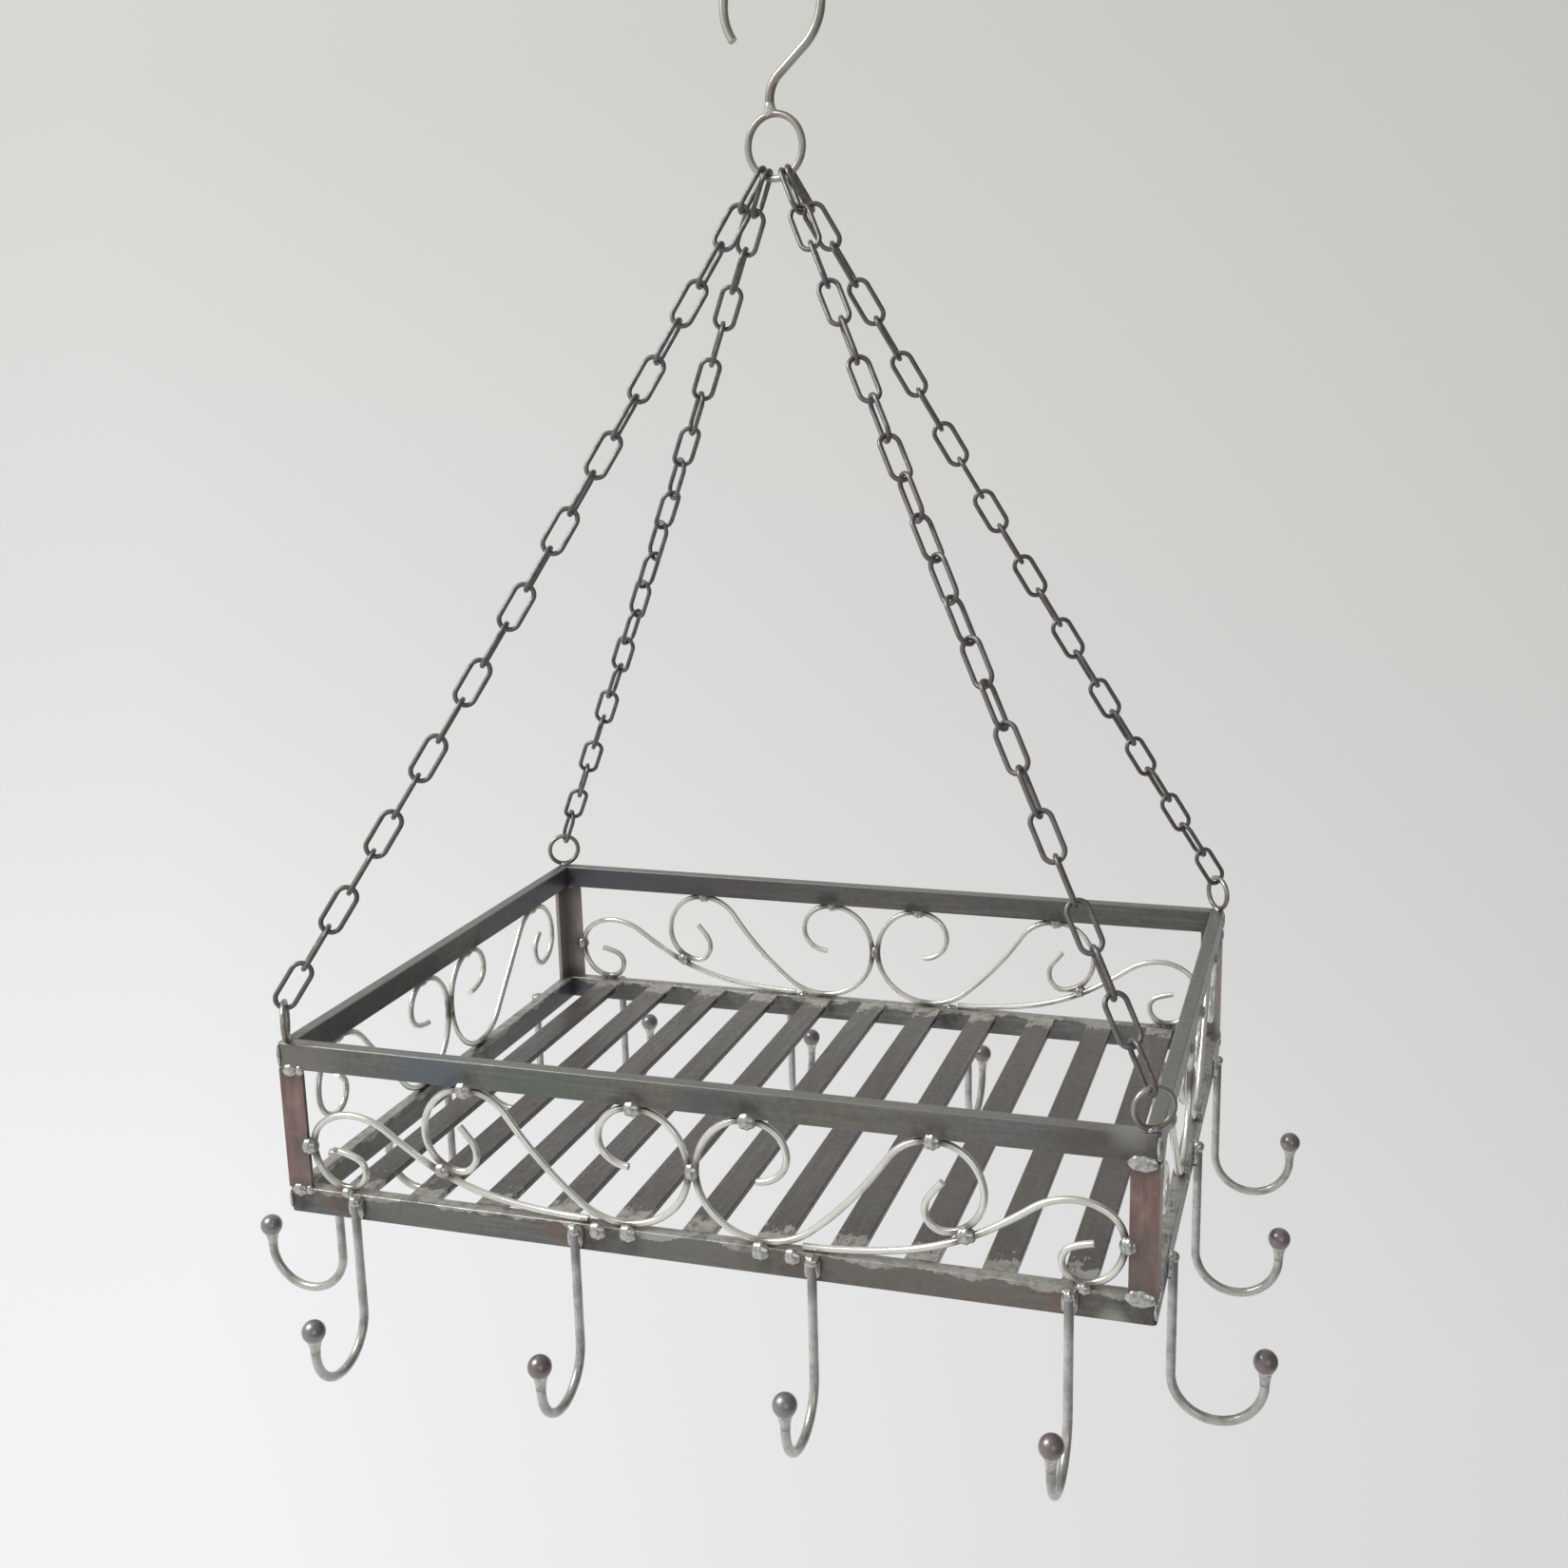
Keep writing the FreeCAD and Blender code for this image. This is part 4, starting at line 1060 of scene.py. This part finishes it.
class POTRACK_OT_hanger_weld(bpy.types.Operator):
    """Flared weld collar that seats the ceiling hook's neck on the ring"""

    bl_idname = "pot_rack.hanger_weld"
    bl_label = "Hanger weld"

    def execute(self, context):
        along = Vector((math.cos(RING_HEADING), math.sin(RING_HEADING), 0))
        aside = Vector((-along.y, along.x, 0))
        # it sits round the neck down to stem_end and follows the ring below, whose
        # round wire falls away by wire_fall at the collar's sides
        stem_end, wire_fall = 5.0, 2.4
        # reach along the ring and across it in mm, height over the ring's top
        profile = (
            (2.4, 2.4, 5.4),
            (3.5, 3.5, 5.0),
            (3.7, 3.5, 3.6),
            (4.1, 3.45, 2.0),
            (5.0, 3.4, 0.7),
            (6.2, 3.2, -0.1),
            (6.4, 2.9, -1.0),
            (3.0, 1.5, -2.0),
        )
        rings = []
        for reach, breadth, rise in profile:
            saddle = min(1.0, max(0.0, (stem_end - rise) / stem_end))
            ring = []
            for c, s in circle(24):
                out = WELD_SHIFT + reach * c
                spot = RING_CENTRE + along * out * MM + aside * breadth * s * MM
                top = math.sqrt(RING_RADIUS**2 - (out * MM) ** 2) - RING_RADIUS
                drop = (top - wire_fall * MM * s * s) * saddle
                spot.z += RING_RADIUS + drop + rise * MM
                ring.append(spot)
            rings.append(ring)
        shape = bmesh.new()
        skin(shape, rings)
        mesh = finish_mesh(shape, "hanger_weld_collar", "ball_neck_weld_metal")
        keep("hanger_weld_collar", mesh, "hanger")
        return {"FINISHED"}


class POTRACK_OT_studio(bpy.types.Operator):
    """Pale sweep, soft lights and the camera"""

    bl_idname = "pot_rack.studio"
    bl_label = "Studio"

    def execute(self, context):
        studio = context.scene.pot_rack_studio
        make_sweep(studio)
        make_lights(context, studio)
        make_camera(context)
        context.scene.view_settings.view_transform = "Standard"
        return {"FINISHED"}


def paper_material(studio):
    """Matt paper, with painted shade making it a little darker to the right and
    at the top.

    It glows with its own colour to the eye and in the metal, and takes the
    rack's shadow.
    """
    material, tree, point, _ = new_material("studio_paper")
    # the painted shade fans out from here and runs straight nearer than shallowest
    fan_x, fan_y, shallowest = 0.41, -1.22, 2.0
    fan_start, fan_end = -0.80, 0.12
    top_climb, low_climb = 3.7, -0.2
    axes = add(tree, "ShaderNodeSeparateXYZ", {0: point}).outputs
    depth = add(tree, "ShaderNodeMath", {0: axes["Y"], 1: -fan_y}, operation="ADD")
    depth = add(
        tree,
        "ShaderNodeMath",
        {0: depth.outputs[0], 1: shallowest},
        operation="MAXIMUM",
    )
    sideways = add(
        tree, "ShaderNodeMath", {0: axes["X"], 1: fan_x}, operation="SUBTRACT"
    )
    bearing = add(
        tree,
        "ShaderNodeMath",
        {0: sideways.outputs[0], 1: depth.outputs[0]},
        operation="DIVIDE",
    )
    right = add(
        tree,
        "ShaderNodeMapRange",
        {"Value": bearing.outputs[0], "From Min": fan_start, "From Max": fan_end},
    ).outputs[0]
    climb = add(
        tree, "ShaderNodeMath", {0: axes["Y"], 1: axes["Z"]}, operation="ADD"
    ).outputs[0]
    low = add(
        tree,
        "ShaderNodeMapRange",
        {"Value": climb, "From Min": top_climb, "From Max": low_climb},
    ).outputs[0]
    top = tint(tree, tuple(studio.top_left), tuple(studio.top_right), 1.0, right)
    bottom = tint(tree, tuple(studio.low_left), tuple(studio.low_right), 1.0, right)
    paint = tint(tree, top, bottom, 1.0, low)
    # the room is darker to the right, which gives the rods their shaded edge
    shade = past(tree, point, "X", 0.6, 3.0)
    dim = tint(tree, paint, (0.16, 0.16, 0.16), 1.0, shade)
    paper = add(tree, "ShaderNodeBsdfDiffuse", {"Color": paint})
    path = add(tree, "ShaderNodeLightPath").outputs
    seen_paint = tint(tree, dim, paint, 1.0, path["Is Camera Ray"])
    glow = add(tree, "ShaderNodeEmission", {"Color": seen_paint, "Strength": 1.0})
    seen = path["Is Camera Ray"]
    for kind in ("Is Glossy Ray", "Is Transmission Ray"):
        seen = add(
            tree, "ShaderNodeMath", {0: seen, 1: path[kind]}, operation="MAXIMUM"
        ).outputs[0]
    mostly = add(tree, "ShaderNodeMath", {0: seen, 1: 0.85}, operation="MULTIPLY")
    mixed = add(
        tree,
        "ShaderNodeMixShader",
        {0: mostly.outputs[0], 1: paper.outputs[0], 2: glow.outputs[0]},
    )
    add(tree, "ShaderNodeOutputMaterial", {"Surface": mixed.outputs[0]})
    return material


def make_sweep(studio):
    """A floor that curves up into a wall, well clear of the rack."""
    floor, front, back, bend, top = -2.1, -4.0, 3.2, 1.2, 3.5
    half_width = 6.0
    profile = [(front, floor)]
    steps = 16
    for step in range(steps + 1):
        turn = math.pi / 2 * step / steps
        y = back - bend + bend * math.sin(turn)
        profile.append((y, floor + bend - bend * math.cos(turn)))
    profile.append((back, top))
    verts, faces = [], []
    for y, z in profile:
        verts += [(-half_width, y, z), (half_width, y, z)]
    for index in range(len(profile) - 1):
        a = index * 2
        faces.append((a, a + 1, a + 3, a + 2))
    mesh = bpy.data.meshes.new("studio_sweep")
    mesh.from_pydata(verts, [], faces)
    mesh.shade_smooth()
    mesh.materials.append(paper_material(studio))
    sweep = bpy.data.objects.new("studio_sweep", mesh)
    bpy.context.scene.collection.objects.link(sweep)


def make_lights(context, studio):
    """A big soft key above and to the left, a fill in front, a pale world."""
    world = bpy.data.worlds.new("studio_world")
    context.scene.world = world
    world.use_nodes = True
    tree = world.node_tree
    background = tree.nodes["Background"]
    background.inputs["Color"].default_value = (*shade_of("sky"), 1.0)
    way = add(tree, "ShaderNodeTexCoord").outputs["Generated"]
    sideways = add(tree, "ShaderNodeSeparateXYZ", {0: way}).outputs["X"]
    strength = add(
        tree,
        "ShaderNodeMapRange",
        {
            "Value": sideways,
            "From Min": -0.7,
            "From Max": 0.8,
            "To Min": studio.sky * 1.35,
            "To Max": studio.sky * 0.45,
        },
        interpolation_type="SMOOTHSTEP",
    )
    tree.links.new(strength.outputs[0], background.inputs["Strength"])
    target = Vector((0, 0, -0.75))
    for name, place, size, power in (
        ("key_softbox", (-1.7, -1.1, 1.2), 1.1, studio.key),
        ("fill_softbox", (1.6, -2.6, 0.1), 1.6, studio.fill),
    ):
        lamp = bpy.data.lights.new(name, "AREA")
        lamp.size = size
        lamp.energy = power
        light = bpy.data.objects.new(name, lamp)
        light.location = place
        aim = (target - Vector(place)).to_track_quat("-Z", "Y")
        light.rotation_euler = aim.to_euler()
        context.scene.collection.objects.link(light)


def make_camera(context):
    """A little right of the rack's middle, above the tray, looking down."""
    place = Vector((0.40864, -1.21697, -0.27390))
    yaw, pitch, roll = 0.28709, 0.21770, -0.01702
    focal_px, picture_px = 1848.81, 1650
    middle_x, middle_y = 898.0, 787.85
    sensor = 36.0
    level = Vector((math.cos(yaw), math.sin(yaw), 0))
    ahead = Vector((-math.sin(yaw), math.cos(yaw), 0))
    forward = ahead * math.cos(pitch) - Vector((0, 0, math.sin(pitch)))
    upright = level.cross(forward)
    right = level * math.cos(roll) + upright * math.sin(roll)
    up = upright * math.cos(roll) - level * math.sin(roll)
    lens = bpy.data.cameras.new("camera")
    lens.sensor_width = sensor
    lens.lens = sensor * focal_px / picture_px
    lens.shift_x = (picture_px / 2 - middle_x) / picture_px
    lens.shift_y = (middle_y - picture_px / 2) / picture_px
    lens.clip_start, lens.clip_end = 0.05, 30.0
    camera = bpy.data.objects.new("camera", lens)
    turn = Matrix((right, up, -forward)).transposed().to_4x4()
    camera.matrix_world = Matrix.Translation(place) @ turn
    context.scene.collection.objects.link(camera)
    context.scene.camera = camera


class POTRACK_PT_panel(bpy.types.Panel):
    """Sizes, colours and steps of the pot rack"""

    bl_idname = "POTRACK_PT_panel"
    bl_label = "Hanging pot rack"
    bl_space_type = "VIEW_3D"
    bl_region_type = "UI"
    bl_category = "Pot rack"

    def draw(self, context):
        layout = self.layout
        scene = context.scene
        for group in (
            scene.pot_rack_finish,
            scene.pot_rack_welds,
            scene.pot_rack_studio,
        ):
            box = layout.box()
            for name in group.__annotations__:
                box.prop(group, name)
        for step in STEPS:
            layout.operator(step.bl_idname)


STEPS = (
    POTRACK_OT_steel_finishes,
    POTRACK_OT_scroll_welds,
    POTRACK_OT_post_welds,
    POTRACK_OT_pot_hook_welds,
    POTRACK_OT_ball_necks,
    POTRACK_OT_eye_welds,
    POTRACK_OT_hanger_weld,
    POTRACK_OT_studio,
)
GROUPS = (
    ("pot_rack_finish", PotRackFinish),
    ("pot_rack_welds", PotRackWelds),
    ("pot_rack_studio", PotRackStudio),
)


def register():
    for name, group in GROUPS:
        bpy.utils.register_class(group)
        setattr(bpy.types.Scene, name, PointerProperty(type=group))
    for step in STEPS:
        bpy.utils.register_class(step)
    bpy.utils.register_class(POTRACK_PT_panel)


def unregister():
    bpy.utils.unregister_class(POTRACK_PT_panel)
    for step in reversed(STEPS):
        bpy.utils.unregister_class(step)
    for name, group in reversed(GROUPS):
        delattr(bpy.types.Scene, name)
        bpy.utils.unregister_class(group)


def main():
    register()
    for step in STEPS:
        group, name = step.bl_idname.split(".")
        getattr(getattr(bpy.ops, group), name)()


if __name__ == "__main__":
    main()
